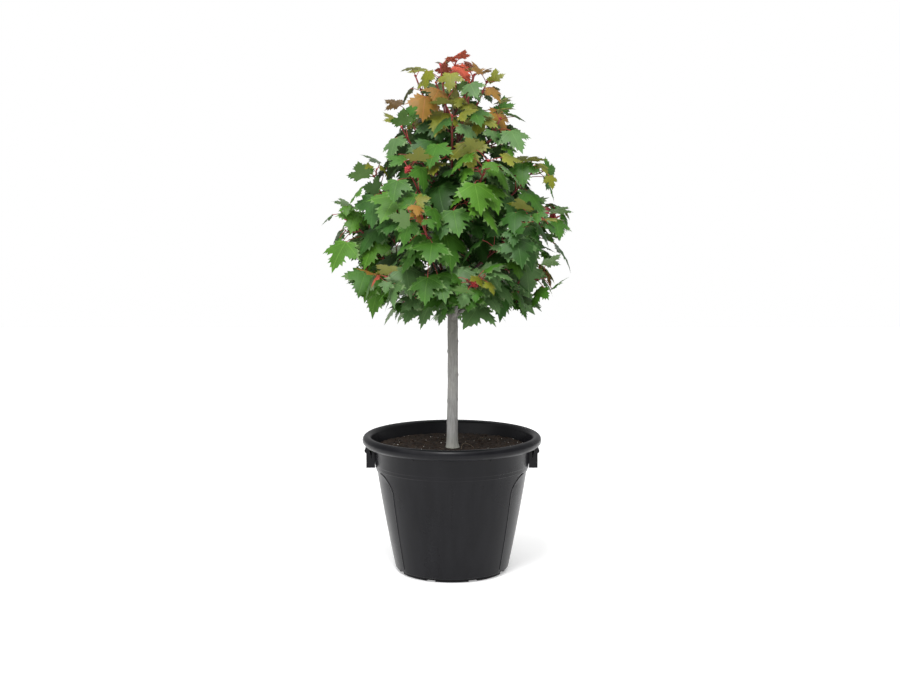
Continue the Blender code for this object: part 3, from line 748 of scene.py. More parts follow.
STOREYS = (
    Storey("skirt", 0.656, 0.105, 0.226, 0.80, 0.32, 0.092, 5, 0, (284, 345, 38, 97, 163, 222)),
    Storey("lower", 0.722, 0.190, 0.262, 0.48, 0.32, 0.094, 5, 1, (5, 66, 126, 177, 253, 318)),
    Storey("middle", 0.834, 0.200, 0.206, 0.42, 0.30, 0.093, 5, 1, (345, 42, 103, 190, 240, 295)),
    Storey("upper", 0.947, 0.205, 0.142, 0.42, 0.0, 0.090, 5, 0, (212, 75, 140, 325, 270, 20)),
    Storey("top", 1.072, 0.190, 0.092, 0.42, 0.0, 0.085, 4, 0, (172, 12, 250, 305, 110)),
    Storey("crest", 1.162, 0.095, 0.050, 0.42, 0.0, 0.078, 2, 0, (215, 340, 80)),
)

# Height and radius of the trunk, and of the crown's outline
TRUNK = (
    (SOIL_TOP + GAP, 0.0172),
    (0.326, 0.0156),
    (0.347, 0.0144),
    (0.422, 0.0139),
    (0.622, 0.0135),
    (0.672, 0.0124),
    (0.782, 0.0100),
    (1.012, 0.0064),
    (1.122, 0.0047),
    (1.262, 0.0030),
)
CROWN = (
    (0.628, 0.180),
    (0.672, 0.230),
    (0.722, 0.285),
    (0.772, 0.318),
    (0.862, 0.338),
    (0.912, 0.322),
    (0.972, 0.286),
    (1.042, 0.262),
    (1.142, 0.215),
    (1.222, 0.175),
    (1.302, 0.115),
    (1.338, 0.040),
)
TRUNK_SWAY = 0.0018
TRUNK_LEAN = 0.0025
TRUNK_WAVES = (7.5, 5.5)
TRUNK_WAVE_START = 0.6

# Room that one leaf takes: half its outline in blade lengths, its fall and its thickness
HALF_LEAF = (
    (0.020, -0.010),
    (0.360, -0.050),
    (0.370, 0.120),
    (0.640, 0.360),
    (0.265, 0.520),
    (0.000, 1.000),
)
LEAF_CENTRE = 0.34
LEAF_CENTRE_LIFT = 0.012
LEAF_THICKNESS = 0.026
LEAF_SIDE_FALL = 0.26
LEAF_TIP_FALL = 0.16
LEAF_HEEL = 0.018
STALK_ROOT = 0.0010
STALK_SUNK = 0.0001
STALK_LENGTH = (0.50, 0.85)
LEAF_TRIES = 18
LEAF_SHYNESS = 1.03
SHY_THICKNESS = 3.0
SHY_STALK = 1.8
ROOT_CLEARANCE = 0.010

# How leaves stand on a shoot; spreads are in radians, droops in degrees below level
ROLL_SPREAD = 0.22
YAW_SPREAD = 0.30
TILT_SPREAD = 0.20
LOOSER_EACH_TRY = 0.12
STALK_ALONG = 0.42
STALK_OUTWARD = 0.90
STALK_UPWARD = 0.12
BLADE_AWAY = 0.80
BLADE_SIDEWAYS = 0.80
STALK_ABOVE_BLADE = 0.35
DROOP = 45.0
YOUNG_DROOP = -30.0
LEADER_DROOP = -62.0
DROOP_SPREAD = 9.0

TWIG_SIDES = 3
BOUGH_SIDES = 6
TRUNK_SIDES = 8
STEM_POINTS = 6
STEM_ROOT = 0.0034
STEM_TIP = 0.0026
LEADER_ROOT = 0.0028
SIDE_TWIG = 0.0024
SIDE_TWIG_SWELL = 0.007
BOUGH_ROOT = 0.0052
BOUGH_POINTS = 5
LIMB_BEND = 0.52
FOOT_STAGGER = 0.011
FOOT_SPREAD = 0.002
REACH_SPREAD = (0.95, 1.05)
RISE_SPREAD = (0.92, 1.08)
SHOOT_SHARE_OF_TRUNK = 0.62
FIRST_PAIR = 0.35
PAIR_TURN = math.pi / 2 + 0.22
BLADE_SPREAD = (0.92, 1.08)
SHRINK_FROM = 0.45
SHRINK_BY = 0.42
TIP_SHARE = 0.985
TIP_TURN = 0.8
TIP_BLADE = 0.55
SIDE_LENGTH = (0.60, 0.80)
SIDE_ALONG = 0.70
SIDE_OUTWARD = 0.75
SIDE_UPTURN = 0.35
SIDE_ROOM = 0.001
SIDE_NODE = 0.75
SIDE_TURN = 0.5
SIDE_BLADES = (0.95, 0.9, 0.8)
SIDE_TIP_INSET = 0.002
LEADER_BENDS = ((0.001, -0.002, 0.018), (0.006, -0.004, 0.034))
LEADER_BLADE = 0.062
LEADER_PAIRS = 2
SEED = 52


def between(table: Sequence[tuple[float, float]], height: float) -> float:
    """Reads a table of heights and values.

    Args:
        table: Rows of height and value, from the lowest up.
        height: Where it is read.

    Returns:
        The value there.
    """
    if height <= table[0][0]:
        return table[0][1]
    for (low, a), (high, b) in zip(table, table[1:]):
        if height <= high:
            return a + (b - a) * (height - low) / (high - low)
    return table[-1][1]


def trunk_axis(height: float) -> Vector:
    """Centre of the trunk at a height, with its sway and slight lean.

    Args:
        height: How high the point stands.

    Returns:
        The point.
    """
    share = (height - SOIL_TOP) / (TRUNK[-1][0] - SOIL_TOP)
    wave_x, wave_y = TRUNK_WAVES
    x = TRUNK_LEAN * share + TRUNK_SWAY * math.sin(wave_x * share)
    start = math.sin(TRUNK_WAVE_START)
    y = TRUNK_SWAY * (math.sin(wave_y * share + TRUNK_WAVE_START) - start)
    return Vector((x, y, height))


def limb_path(
    foot: float, azimuth: float, reach: float, rise: float, arch: float
) -> "callable":
    """A limb from the trunk's axis to its tip.

    Args:
        foot: Height of its foot.
        azimuth: Which way it goes, in radians.
        reach: How far out it goes.
        rise: How far it climbs.
        arch: The share of its rise at mid reach.

    Returns:
        A function from a share of the limb to its point.
    """
    start = trunk_axis(foot)
    away = Vector((math.cos(azimuth), math.sin(azimuth), 0.0))
    bend = start + away * reach * LIMB_BEND + Vector((0.0, 0.0, rise * arch))
    tip = start + away * reach + Vector((0.0, 0.0, rise))

    def at(share: float) -> Vector:
        """Point of the limb at a share of it."""
        first = start.lerp(bend, share)
        return first.lerp(bend.lerp(tip, share), share)

    return at


def tube_shape(points: Sequence[Vector], radii: Sequence[float], sides: int = TWIG_SIDES) -> Shape:
    """A closed tube with flat ends.

    Args:
        points: The points that it runs through.
        radii: Its radius at each point.
        sides: How many sides it has.

    Returns:
        Its points and faces.
    """
    heading = (points[1] - points[0]).normalized()
    helper = Vector((0.0, 0.0, 1.0)) if abs(heading.z) < 0.9 else Vector((1.0, 0.0, 0.0))
    corners, faces = [], []
    for index, (point, radius) in enumerate(zip(points, radii)):
        ahead = points[min(index + 1, len(points) - 1)]
        behind = points[max(index - 1, 0)]
        along = (ahead - behind).normalized()
        across = along.cross(helper).normalized()
        up = across.cross(along)
        for step in range(sides):
            turn = 2 * math.pi * step / sides
            corners.append(point + (across * math.cos(turn) + up * math.sin(turn)) * radius)
    for ring in range(len(points) - 1):
        for step in range(sides):
            after = (step + 1) % sides
            low, high = ring * sides, (ring + 1) * sides
            faces.append((low + step, low + after, high + after))
            faces.append((low + step, high + after, high + step))
    last = (len(points) - 1) * sides
    faces.append(tuple(reversed(range(sides))))
    faces.append(tuple(range(last, last + sides)))
    return corners, faces


@dataclass(frozen=True)
class Leaf:
    """A leaf as a matrix for its blade and the point that its stalk leaves."""

    root: Vector
    frame: Matrix
    size: float


def leaf_room(leaf: Leaf, swell: float = 1.0, stalk_skip: float = 0.0) -> Shape:
    """The room that a leaf takes, blade and stalk, closed all round.

    Args:
        leaf: The leaf.
        swell: How much larger than the leaf the room is.
        stalk_skip: Length of the stalk's root that is left out.

    Returns:
        Its points and faces.
    """
    size = leaf.size
    right = [(x, y) for x, y in HALF_LEAF]
    left = [(-x, y) for x, y in reversed(HALF_LEAF[:-1])]
    outline = right + left
    points = []
    for x, y in outline:
        fall = LEAF_SIDE_FALL * x * x + LEAF_TIP_FALL * y * y
        local = Vector((x * swell, LEAF_CENTRE + (y - LEAF_CENTRE) * swell, -fall))
        points.append(leaf.frame @ (local * size))
    count = len(points)
    thickness = LEAF_THICKNESS * (SHY_THICKNESS if swell > 1.0 else 1.0)
    middle = LEAF_CENTRE_LIFT - LEAF_TIP_FALL * LEAF_CENTRE * LEAF_CENTRE
    top = leaf.frame @ (Vector((0.0, LEAF_CENTRE, middle + thickness / 4)) * size)
    bottom = leaf.frame @ (Vector((0.0, LEAF_CENTRE, middle - thickness * 3 / 4)) * size)
    below = leaf.frame @ (Vector((0.0, 0.0, -LEAF_HEEL)) * size)
    points += [top, bottom, below]
    top_index, bottom_index, below_index = count, count + 1, count + 2
    faces = []
    for index in range(count):
        after = (index + 1) % count
        faces.append((index, after, top_index))
        if after:
            faces.append((after, index, bottom_index))
    last = count - 1
    faces.append((below_index, last, bottom_index))
    faces.append((0, below_index, bottom_index))

    junction = leaf.frame.translation
    along = (junction - leaf.root).normalized()
    start = leaf.root + along * (stalk_skip or STALK_SUNK)
    across = (points[0] - points[last]).normalized()
    across = (across - along * across.dot(along)).normalized()
    under = along.cross(across)
    radius = STALK_ROOT * (SHY_STALK if swell > 1.0 else 1.0)
    first = len(points)
    half_side = radius * math.sqrt(3) / 2
    points.append(start + across * half_side - under * radius / 2)
    points.append(start - across * half_side - under * radius / 2)
    points.append(start + under * radius)
    if (points[below_index] - junction).dot(under) < 0:
        points[first] += under * radius
        points[first + 1] += under * radius
        points[first + 2] -= under * radius * 2
    ring = (0, last, below_index)
    root = (first, first + 1, first + 2)
    for index in range(3):
        after = (index + 1) % 3
        faces.append((ring[index], root[index], root[after]))
        faces.append((ring[index], root[after], ring[after]))
    faces.append((root[2], root[1], root[0]))
    return points, faces


class Crown:
    """What has grown so far, so that nothing new touches it."""

    def __init__(self) -> None:
        """An empty crown."""
        self.solids: list[tuple[str, Vector, float, BVHTree]] = []

    def add(self, owner: str, points: Sequence[Vector], faces: Sequence[tuple[int, ...]]) -> None:
        """Keeps the space of a closed shape.

        Args:
            owner: The limb or mass that it belongs to.
            points: Its points.
            faces: Its faces.
        """
        centre = sum(points, Vector()) / len(points)
        radius = max((point - centre).length for point in points)
        self.solids.append((owner, centre, radius, BVHTree.FromPolygons(points, faces)))

    def holds(self, points: Sequence[Vector]) -> bool:
        """Whether every point lies inside the crown's outline.

        Args:
            points: The points.

        Returns:
            True where all of them do.
        """
        for point in points:
            if not CROWN[0][0] <= point.z <= CROWN[-1][0]:
                return False
            if math.hypot(point.x, point.y) > between(CROWN, point.z):
                return False
        return True

    def crosses(self, shape: Shape, owner: str, own: bool) -> bool:
        """Whether a closed shape crosses what has grown.

        Args:
            shape: Its points and faces.
            owner: The mass that it belongs to.
            own: Whether the owner's own solids are tried, or those of all others.

        Returns:
            True where it crosses one.
        """
        points, faces = shape
        centre = sum(points, Vector()) / len(points)
        radius = max((point - centre).length for point in points)
        tree = None
        for other, middle, reach, solid in self.solids:
            if (other == owner) != own or (middle - centre).length > reach + radius:
                continue
            tree = tree or BVHTree.FromPolygons(points, faces)
            if tree.overlap(solid):
                return True
        return False


def grow_leaf(
    rng: random.Random,
    crown: Crown,
    owner: str,
    root: Vector,
    heading: Vector,
    roll: float,
    size: float,
    fall: float = DROOP,
) -> Leaf | None:
    """Tries a leaf at a node of a twig until one fits.

    Args:
        rng: The seeded source of draws.
        crown: What has grown so far.
        owner: The mass that the leaf belongs to.
        root: The node that it grows from.
        heading: Which way the twig runs there.
        roll: How far round the twig the leaf stands.
        size: Length of its blade.
        fall: How far below level its blade points, in degrees.

    Returns:
        The leaf, or None where none fits.
    """
    along = heading.normalized()
    helper = Vector((0.0, 0.0, 1.0)) if abs(along.z) < 0.95 else Vector((1.0, 0.0, 0.0))
    across = along.cross(helper).normalized()
    for attempt in range(LEAF_TRIES):
        loose = 1.0 + LOOSER_EACH_TRY * attempt
        turn = roll + rng.gauss(0.0, ROLL_SPREAD) * loose
        stalk = size * rng.uniform(*STALK_LENGTH)
        yaw = rng.gauss(0.0, YAW_SPREAD) * loose
        droop = math.radians(rng.gauss(fall, DROOP_SPREAD * loose))
        tilt = rng.gauss(0.0, TILT_SPREAD) * loose
        side = Matrix.Rotation(turn, 3, along) @ across
        way = along * STALK_ALONG + side * STALK_OUTWARD + Vector((0.0, 0.0, STALK_UPWARD))
        way.normalize()
        base = root + way * stalk
        away = Vector((base.x, base.y, 0.0)).normalized()
        flat = away * BLADE_AWAY + Vector((side.x, side.y, 0.0)) * BLADE_SIDEWAYS
        flat = (Matrix.Rotation(yaw, 3, "Z") @ flat).normalized()
        axis = flat * math.cos(droop) - Vector((0.0, 0.0, math.sin(droop)))
        sideways = axis.cross(Vector((0.0, 0.0, 1.0))).normalized()
        sideways = Matrix.Rotation(tilt, 3, axis) @ sideways
        upper = sideways.cross(axis)
        if way.dot(axis) < 0.0 and way.dot(upper) < STALK_ABOVE_BLADE:
            continue
        frame_matrix = Matrix((sideways, axis, upper)).transposed().to_4x4()
        frame_matrix.translation = base
        leaf = Leaf(root, frame_matrix, size)
        clear = leaf_room(leaf, LEAF_SHYNESS, ROOT_CLEARANCE)
        if not crown.holds(clear[0]) or crown.crosses(clear, owner, True):
            continue
        if not crown.crosses(leaf_room(leaf, LEAF_SHYNESS), owner, False):
            crown.add(owner, *leaf_room(leaf))
            return leaf
    return None


@dataclass
class Mass:
    """One shoot with its side twigs and leaves."""

    name: str
    stem: list[Vector]
    radii: list[float]
    blade: float
    pairs: int
    side_twigs: int
    tip_bud: bool
    from_trunk: bool
    young_droop: float = YOUNG_DROOP
    spin: float = 0.0
    twigs: list[list[Vector]] = field(default_factory=list)
    leaves: list[Leaf] = field(default_factory=list)

    def blade_at(self, share: float) -> float:
        """Length of a blade at a share of the shoot, less towards its young end."""
        young = max(0.0, share - SHRINK_FROM) / (1.0 - SHRINK_FROM)
        return self.blade * (1.0 - SHRINK_BY * young)


Bough = tuple[str, list[Vector], list[float]]


def plan_limbs(rng: random.Random) -> tuple[list[Bough], list[Mass]]:
    """Bare boughs and leafy shoots of every storey.

    Args:
        rng: The seeded source of draws.

    Returns:
        The boughs and the masses, with no leaf grown yet.
    """
    boughs, masses = [], []
    for storey in STOREYS:
        for index, degrees in enumerate(storey.azimuths):
            foot = storey.foot + FOOT_STAGGER * (index % 3 - 1)
            foot += rng.uniform(-FOOT_SPREAD, FOOT_SPREAD)
            reach = storey.reach * rng.uniform(*REACH_SPREAD)
            rise = storey.rise * rng.uniform(*RISE_SPREAD)
            path = limb_path(foot, math.radians(degrees), reach, rise, storey.arch)
            label = f"{storey.name}_{index + 1}"
            root_radius = STEM_ROOT
            if storey.bare:
                shares = [storey.bare * step / (BOUGH_POINTS - 1) for step in range(BOUGH_POINTS)]
                radii = [BOUGH_ROOT + (STEM_ROOT - BOUGH_ROOT) * s / storey.bare for s in shares]
                boughs.append(("bough_" + label, [path(s) for s in shares], radii))
            start = storey.bare
            shares = [start + (1 - start) * s / (STEM_POINTS - 1) for s in range(STEM_POINTS)]
            stem = [path(share) for share in shares]
            if storey.bare:
                stem[0] = stem[0] + (stem[1] - stem[0]).normalized() * GAP
            else:
                root_radius = min(STEM_ROOT, SHOOT_SHARE_OF_TRUNK * between(TRUNK, foot))
            thinning = (STEM_TIP - root_radius) / (STEM_POINTS - 1)
            radii = [root_radius + thinning * step for step in range(STEM_POINTS)]
            masses.append(
                Mass(
                    name="foliage_" + label,
                    stem=stem,
                    radii=radii,
                    blade=storey.blade,
                    pairs=storey.pairs,
                    side_twigs=storey.side_twigs,
                    tip_bud=index % 2 == 0,
                    from_trunk=not storey.bare,
                )
            )
    return boughs, masses


def leader() -> Mass:
    """The forked tip that carries on from the trunk.

    Returns:
        Its mass, with no leaf grown yet.
    """
    start = trunk_axis(TRUNK[-1][0]) + Vector((0.0, 0.0, GAP))
    return Mass(
        name="foliage_leader",
        stem=[start, *(start + Vector(bend) for bend in LEADER_BENDS)],
        radii=[LEADER_ROOT, STEM_TIP, STEM_TIP],
        blade=LEADER_BLADE,
        pairs=LEADER_PAIRS,
        side_twigs=0,
        tip_bud=False,
        from_trunk=False,
        young_droop=LEADER_DROOP,
    )


def path_point(points: Sequence[Vector], share: float) -> tuple[Vector, Vector]:
    """Point and heading on a path.

    Args:
        points: The path's points.
        share: How far along it, as a share of its stretches.

    Returns:
        The point and the way that the path runs there.
    """
    place = share * (len(points) - 1)
    index = min(int(place), len(points) - 2)
    a, b = points[index], points[index + 1]
    return a.lerp(b, place - index), (b - a).normalized()


def grow_side_twig(
    mass: Mass,
    rng: random.Random,
    crown: Crown,
    root: Vector,
    heading: Vector,
    turn: float,
    length: tuple[float, float] = SIDE_LENGTH,
) -> list[Vector] | None:
    """A side twig where it has room.

    Args:
        mass: The mass that it belongs to.
        rng: The seeded source of draws.
        crown: What has grown so far.
        root: The node that it grows from.
        heading: Which way the stem runs there.
        turn: How far round the stem it stands.
        length: Shortest and longest twig, in blade lengths.

    Returns:
        Its points, or None where it has no room.
    """
    across = heading.cross(UP).normalized()
    side = Matrix.Rotation(turn, 3, heading) @ across
    half = mass.blade * rng.uniform(*length) / 2
    way = (heading * SIDE_ALONG + side * SIDE_OUTWARD).normalized()
    bend = (way + Vector((0.0, 0.0, SIDE_UPTURN))).normalized()
    middle = root + way * half
    points = [root, root + way * SIDE_TWIG_SWELL, middle, middle + bend * half]
    room = [root + way * ROOT_CLEARANCE, *points[2:]]
    shape = tube_shape(room, [SIDE_TWIG + SIDE_ROOM] * len(room))
    whole = tube_shape(points, [SIDE_TWIG + SIDE_ROOM] * len(points))
    if crown.crosses(shape, mass.name, True) or crown.crosses(whole, mass.name, False):
        return None
    crown.add(mass.name, *shape)
    return points


def grow_mass(mass: Mass, rng: random.Random, crown: Crown) -> None:
    """Grows the side twigs and leaves of a mass.

    Args:
        mass: The mass that keeps them.
        rng: The seeded source of draws.
        crown: What has grown so far.
    """
    mass.spin = rng.uniform(0.0, math.pi)
    for pair in range(mass.pairs):
        share = (pair + FIRST_PAIR) / mass.pairs
        root, heading = path_point(mass.stem, share)
        roll = mass.spin + pair * PAIR_TURN
        size = mass.blade_at(share) * rng.uniform(*BLADE_SPREAD)
        for half in range(2):
            turn = roll + math.pi * half
            twig = None
            if 1 <= pair <= mass.side_twigs:
                twig = grow_side_twig(mass, rng, crown, root, heading, turn)
            if twig is None:
                leaf = grow_leaf(rng, crown, mass.name, root, heading, turn, size)
                if leaf:
                    mass.leaves.append(leaf)
                continue
            mass.twigs.append(twig)
            node, way = path_point(twig, SIDE_NODE)
            tip = twig[-1] - (twig[-1] - twig[-2]).normalized() * SIDE_TIP_INSET
            places = (node, node, tip)
            turns = (turn + SIDE_TURN, turn + SIDE_TURN + math.pi, turn)
            for place, side_turn, scale in zip(places, turns, SIDE_BLADES):
                leaf = grow_leaf(rng, crown, mass.name, place, way, side_turn, size * scale)
                if leaf:
                    mass.leaves.append(leaf)
    end, heading = path_point(mass.stem, TIP_SHARE)
    size = mass.blade * TIP_BLADE
    for half in range(2):
        turn = mass.spin + TIP_TURN + math.pi * half
        leaf = grow_leaf(rng, crown, mass.name, end, heading, turn, size, mass.young_droop)
        if leaf:
            mass.leaves.append(leaf)


# Finer growth in the gaps: shares of a pair's stretch, turns and blades of its leaves
FINE_SEED = 907
FINE_SHARES = (0.62, 0.92)
FINE_BLADES = (0.74, 0.58)
FINE_LOW_CHANCE = 0.54
FINE_HIGH_CHANCE = 0.06
FINE_FADE = (0.86, 1.06)
FINE_TWIG = (0.30, 0.46)
FINE_TWIG_BLADES = (0.62, 0.62, 0.55)


def grow_finer(mass: Mass, rng: random.Random, crown: Crown) -> None:
    """Carries the rule on to finer twigs and smaller leaves in what room is left.

    Args:
        mass: The mass that keeps them.
        rng: The seeded source of draws.
        crown: What has grown so far.
    """
    for pair in range(mass.pairs):
        for offset, scale in zip(FINE_SHARES, FINE_BLADES):
            share = min(0.97, (pair + offset) / mass.pairs)
            root, heading = path_point(mass.stem, share)
            roll = mass.spin + (pair + offset) * PAIR_TURN + math.pi / 4
            low, high = FINE_FADE
            faded = min(1.0, max(0.0, (root.z - low) / (high - low)))
            chance = FINE_LOW_CHANCE + (FINE_HIGH_CHANCE - FINE_LOW_CHANCE) * faded
            for half in range(2):
                if rng.random() > chance:
                    continue
                turn = roll + math.pi * half
                twig = grow_side_twig(mass, rng, crown, root, heading, turn, FINE_TWIG)
                if twig is None:
                    size = mass.blade_at(share) * scale * rng.uniform(*BLADE_SPREAD)
                    leaf = grow_leaf(rng, crown, mass.name, root, heading, turn, size)
                    if leaf:
                        mass.leaves.append(leaf)
                    continue
                mass.twigs.append(twig)
                node, way = path_point(twig, SIDE_NODE)
                places = (node, node, twig[-1])
                turns = (turn + SIDE_TURN, turn + SIDE_TURN + math.pi, turn)
                for place, side_turn, part in zip(places, turns, FINE_TWIG_BLADES):
                    size = mass.blade_at(share) * part * rng.uniform(*BLADE_SPREAD)
                    leaf = grow_leaf(rng, crown, mass.name, place, way, side_turn, size)
                    if leaf:
                        mass.leaves.append(leaf)


def grow_tree() -> tuple[list[Bough], list[Mass]]:
    """Grows the whole tree, the same each time.

    Returns:
        Its boughs and its masses with all their twigs and leaves.
    """
    rng = random.Random(SEED)
    crown = Crown()
    axis = [trunk_axis(height) for height, _ in TRUNK]
    crown.add("trunk", *tube_shape(axis, [radius for _, radius in TRUNK], TRUNK_SIDES))
    boughs, masses = plan_limbs(rng)
    masses.append(leader())
    for name, points, radii in boughs:
        crown.add(name, *tube_shape(points, radii, BOUGH_SIDES))
    for mass in masses:
        crown.add(mass.name, *tube_shape(mass.stem, mass.radii))
    for mass in masses:
        grow_mass(mass, rng, crown)
    finer = random.Random(FINE_SEED)
    for mass in masses:
        grow_finer(mass, finer, crown)
    return boughs, masses


# Pot, lugs and soil


def body_radius(height: float) -> float:
    """Outer radius of the pot's wall below its band, a curve through three named radii.

    Args:
        height: How high it is read.

    Returns:
        The radius.
    """
    low, mid, high = BODY_FOOT, BODY_MID, BODY_TOP
    a = BODY_FOOT_RADIUS * (height - mid) * (height - high) / ((low - mid) * (low - high))
    b = BODY_MID_RADIUS * (height - low) * (height - high) / ((mid - low) * (mid - high))
    c = BODY_TOP_RADIUS * (height - low) * (height - mid) / ((high - low) * (high - mid))
    return a + b + c


@dataclass
class Pot:
    """The pot: rolled rim, band, sunk side panels, ribs and a notched foot."""

    finish: bpy.types.Material
    sides: int = 160
    rim_roll: float = 0.0120
    rim_crown: float = 0.013
    rim_tuck: float = 0.2215
    rim_steps: int = 18
    foot_radius: float = 0.139
    foot_height: float = 0.0100
    panel_depth: float = 0.0024
    panel_half_angle: float = 37.0
    panel_top: float = 0.2640
    panel_corner: float = 0.042
    panel_reach: float = 0.180
    corner_steps: int = 12
    notches: int = 8
    notch_width: float = 0.024
    notch_height: float = 0.0058
    notch_inner: float = 0.129
    edge: float = 0.0007
    rib_angles: tuple[float, ...] = (28.5, -28.5, 151.5, -151.5)
    rib_drop: float = 0.011
    rib_half_width: float = 0.0009
    rib_reach: float = 0.006
    seam_foot: float = 0.140
    seam_width: float = 0.0024
    seam_depth: float = 0.0012
    bead_radius: float = 0.0018
    bead_sunk: float = 0.0005

    def profile(self) -> Profile:
        """The pot's section, from the middle of its floor round to its underside.

        Returns:
            Radius and height of each ring.
        """
        levels = (FLOOR_TOP, 0.03, 0.06, 0.09, 0.12, 0.15, 0.18, 0.21, 0.235, 0.255)
        section = [(0.02, FLOOR_TOP)]
        section += [(body_radius(level) - WALL, level) for level in levels]
        section += [(BAND_FOOT_RADIUS - WALL, BAND_FOOT), (BAND_TOP_RADIUS - WALL, LIP_FOOT)]
        centre = POT_HEIGHT - self.rim_crown
        for step in range(self.rim_steps + 1):
            turn = math.radians(180 - 225 * step / self.rim_steps)
            radius = RIM_RADIUS - self.rim_roll + self.rim_roll * math.cos(turn)
            section.append((radius, centre + self.rim_crown * math.sin(turn)))
        section += [(self.rim_tuck, RIM_BOTTOM), (BAND_TOP_RADIUS, RIM_BOTTOM)]
        section += [(BAND_FOOT_RADIUS, BAND_FOOT + 0.0012), (BAND_FOOT_RADIUS - 0.0011, BAND_FOOT)]
        section += [(BAND_FOOT_RADIUS - 0.0013, BODY_TOP + 0.0012), (BODY_TOP_RADIUS, BODY_TOP)]
        section += [(body_radius(level), level) for level in reversed(levels[1:])]
        foot = self.foot_height
        section += [(body_radius(foot + 0.004), foot + 0.004), (body_radius(foot), foot + 0.0008)]
        section += [(body_radius(foot) - 0.0012, foot), (self.foot_radius + 0.001, foot - 0.0006)]
        section += [(self.foot_radius, 0.0), (0.02, 0.0)]
        return section

    def panel(self, side: int) -> bpy.types.Object:
        """The cutter that sinks one side panel.

        Args:
            side: 1 for the right, -1 for the left.

        Returns:
            The cutter.
        """
        foot = -0.008
        spread = math.sin(math.radians(self.panel_half_angle))
        half_top = body_radius(self.panel_top) * spread
        outline = [(-body_radius(foot) * spread, foot), (body_radius(foot) * spread, foot)]
        for step in range(self.corner_steps + 1):
            turn = math.pi / 2 * step / self.corner_steps
            across = half_top - self.panel_corner * (1 - math.cos(turn))
            outline.append((across, self.panel_top - self.panel_corner * (1 - math.sin(turn))))
        outline += [(-across, level) for across, level in reversed(outline[2:])]
        corners = [Vector((side * 0.060, across, level)) for across, level in outline]
        cutter = prism("panel_cutter", corners, Vector((side * self.panel_reach, 0.0, 0.0)))
        levels = (0.280, 0.269, 0.24, 0.215, 0.19, 0.16, 0.13, 0.10, 0.07, 0.04, 0.012, -0.010)
        core = [(0.01, 0.280)]
        core += [(body_radius(level) - self.panel_depth, level) for level in levels]
        core.append((0.01, -0.010))
        cut(cutter, turned("panel_core", core, self.sides))
        return cutter

    def bead(self, side: int, edge: int) -> bpy.types.Object:
        """A fine raised bead along one upright edge of a side panel.

        Args:
            side: 1 for the right panel, -1 for the left.
            edge: 1 for its back edge, -1 for its front edge.

        Returns:
            The bead.
        """
        spread = math.sin(math.radians(self.panel_half_angle))
        half_top = body_radius(self.panel_top) * spread
        spots = []
        for step in range(self.corner_steps + 1):
            turn = math.pi / 2 * (1 - step / self.corner_steps)
            across = half_top - self.panel_corner * (1 - math.cos(turn))
            spots.append((across, self.panel_top - self.panel_corner * (1 - math.sin(turn))))
        foot = self.foot_height + 0.010
        level = self.panel_top - self.panel_corner
        for step in range(1, 15):
            lower = level + (foot - level) * step / 14
            share = (lower + 0.008) / (self.panel_top - self.panel_corner + 0.008)
            low_half = body_radius(-0.008) * spread
            spots.append((low_half + (half_top - low_half) * share, lower))
        points = []
        for across, level in spots:
            radius = body_radius(level) - self.bead_sunk
            depth = math.sqrt(radius * radius - across * across)
            points.append(Vector((side * depth, edge * across, level)))
        return limb("bead", points, [self.bead_radius] * len(points), 3)

    def notch(self, turn: float) -> bpy.types.Object:
        """The cutter of one drain notch.

        Args:
            turn: Its azimuth in radians.

        Returns:
            The cutter.
        """
        half = self.notch_width / 2
        low = (self.notch_inner, -half, -0.002)
        cutter = block("notch_cutter", low, (BODY_FOOT_RADIUS + 0.010, half, self.notch_height))
        cutter.data.transform(Matrix.Rotation(turn, 4, "Z"))
        return cutter

    def seam(self, azimuth: float) -> bpy.types.Object:
        """The cutter of a fine parting line down the wall.

        Args:
            azimuth: Where it runs, in degrees.

        Returns:
            The cutter.
        """
        rows = [self.seam_foot + (0.265 - self.seam_foot) * step / 10 for step in range(11)]
        outline = [Vector((body_radius(z) - self.seam_depth, -self.seam_width / 2, z)) for z in rows]
        outline += [Vector((0.215, -self.seam_width / 2, z)) for z in (rows[-1], rows[0])]
        cutter = prism("seam_cutter", outline, Vector((0.0, self.seam_width, 0.0)))
        cutter.data.transform(Matrix.Rotation(math.radians(azimuth), 4, "Z"))
        return cutter

    def ribs(self) -> list[bpy.types.Object]:
        """Small ribs that prop the rim up from the band.

        Returns:
            The ribs.
        """
        made = []
        for angle in self.rib_angles:
            inner = BAND_TOP_RADIUS - 0.0008
            corners = [
                Vector((inner, -self.rib_half_width, RIM_BOTTOM + 0.0004)),
                Vector((inner + self.rib_reach, -self.rib_half_width, RIM_BOTTOM + 0.0004)),
                Vector((inner, -self.rib_half_width, RIM_BOTTOM - self.rib_drop)),
            ]
            rib = prism("rib", corners, Vector((0.0, 2 * self.rib_half_width, 0.0)))
            rib.data.transform(Matrix.Rotation(math.radians(angle - 90.0), 4, "Z"))
            made.append(rib)
        return made

    def build(self) -> bpy.types.Object:
        """Makes the pot and dresses it.

        Returns:
            The pot.
        """
        pot = turned("pot_shell", self.profile(), self.sides)
        for side in (1, -1):
            cut(pot, self.panel(side))
        for index in range(self.notches):
            cut(pot, self.notch(math.radians(360 / self.notches * (index + 0.5))))
        for azimuth in (-90.0, 90.0):
            cut(pot, self.seam(azimuth))
        modify(pot, "BEVEL", width=self.edge, segments=2, limit_method="ANGLE")
        beads = [self.bead(side, edge) for side in (1, -1) for edge in (1, -1)]
        pot = joined("pot_shell", [pot, *self.ribs(), *beads])
        smooth(pot, 32.0)
        return dress(pot, self.finish, ["pot"])


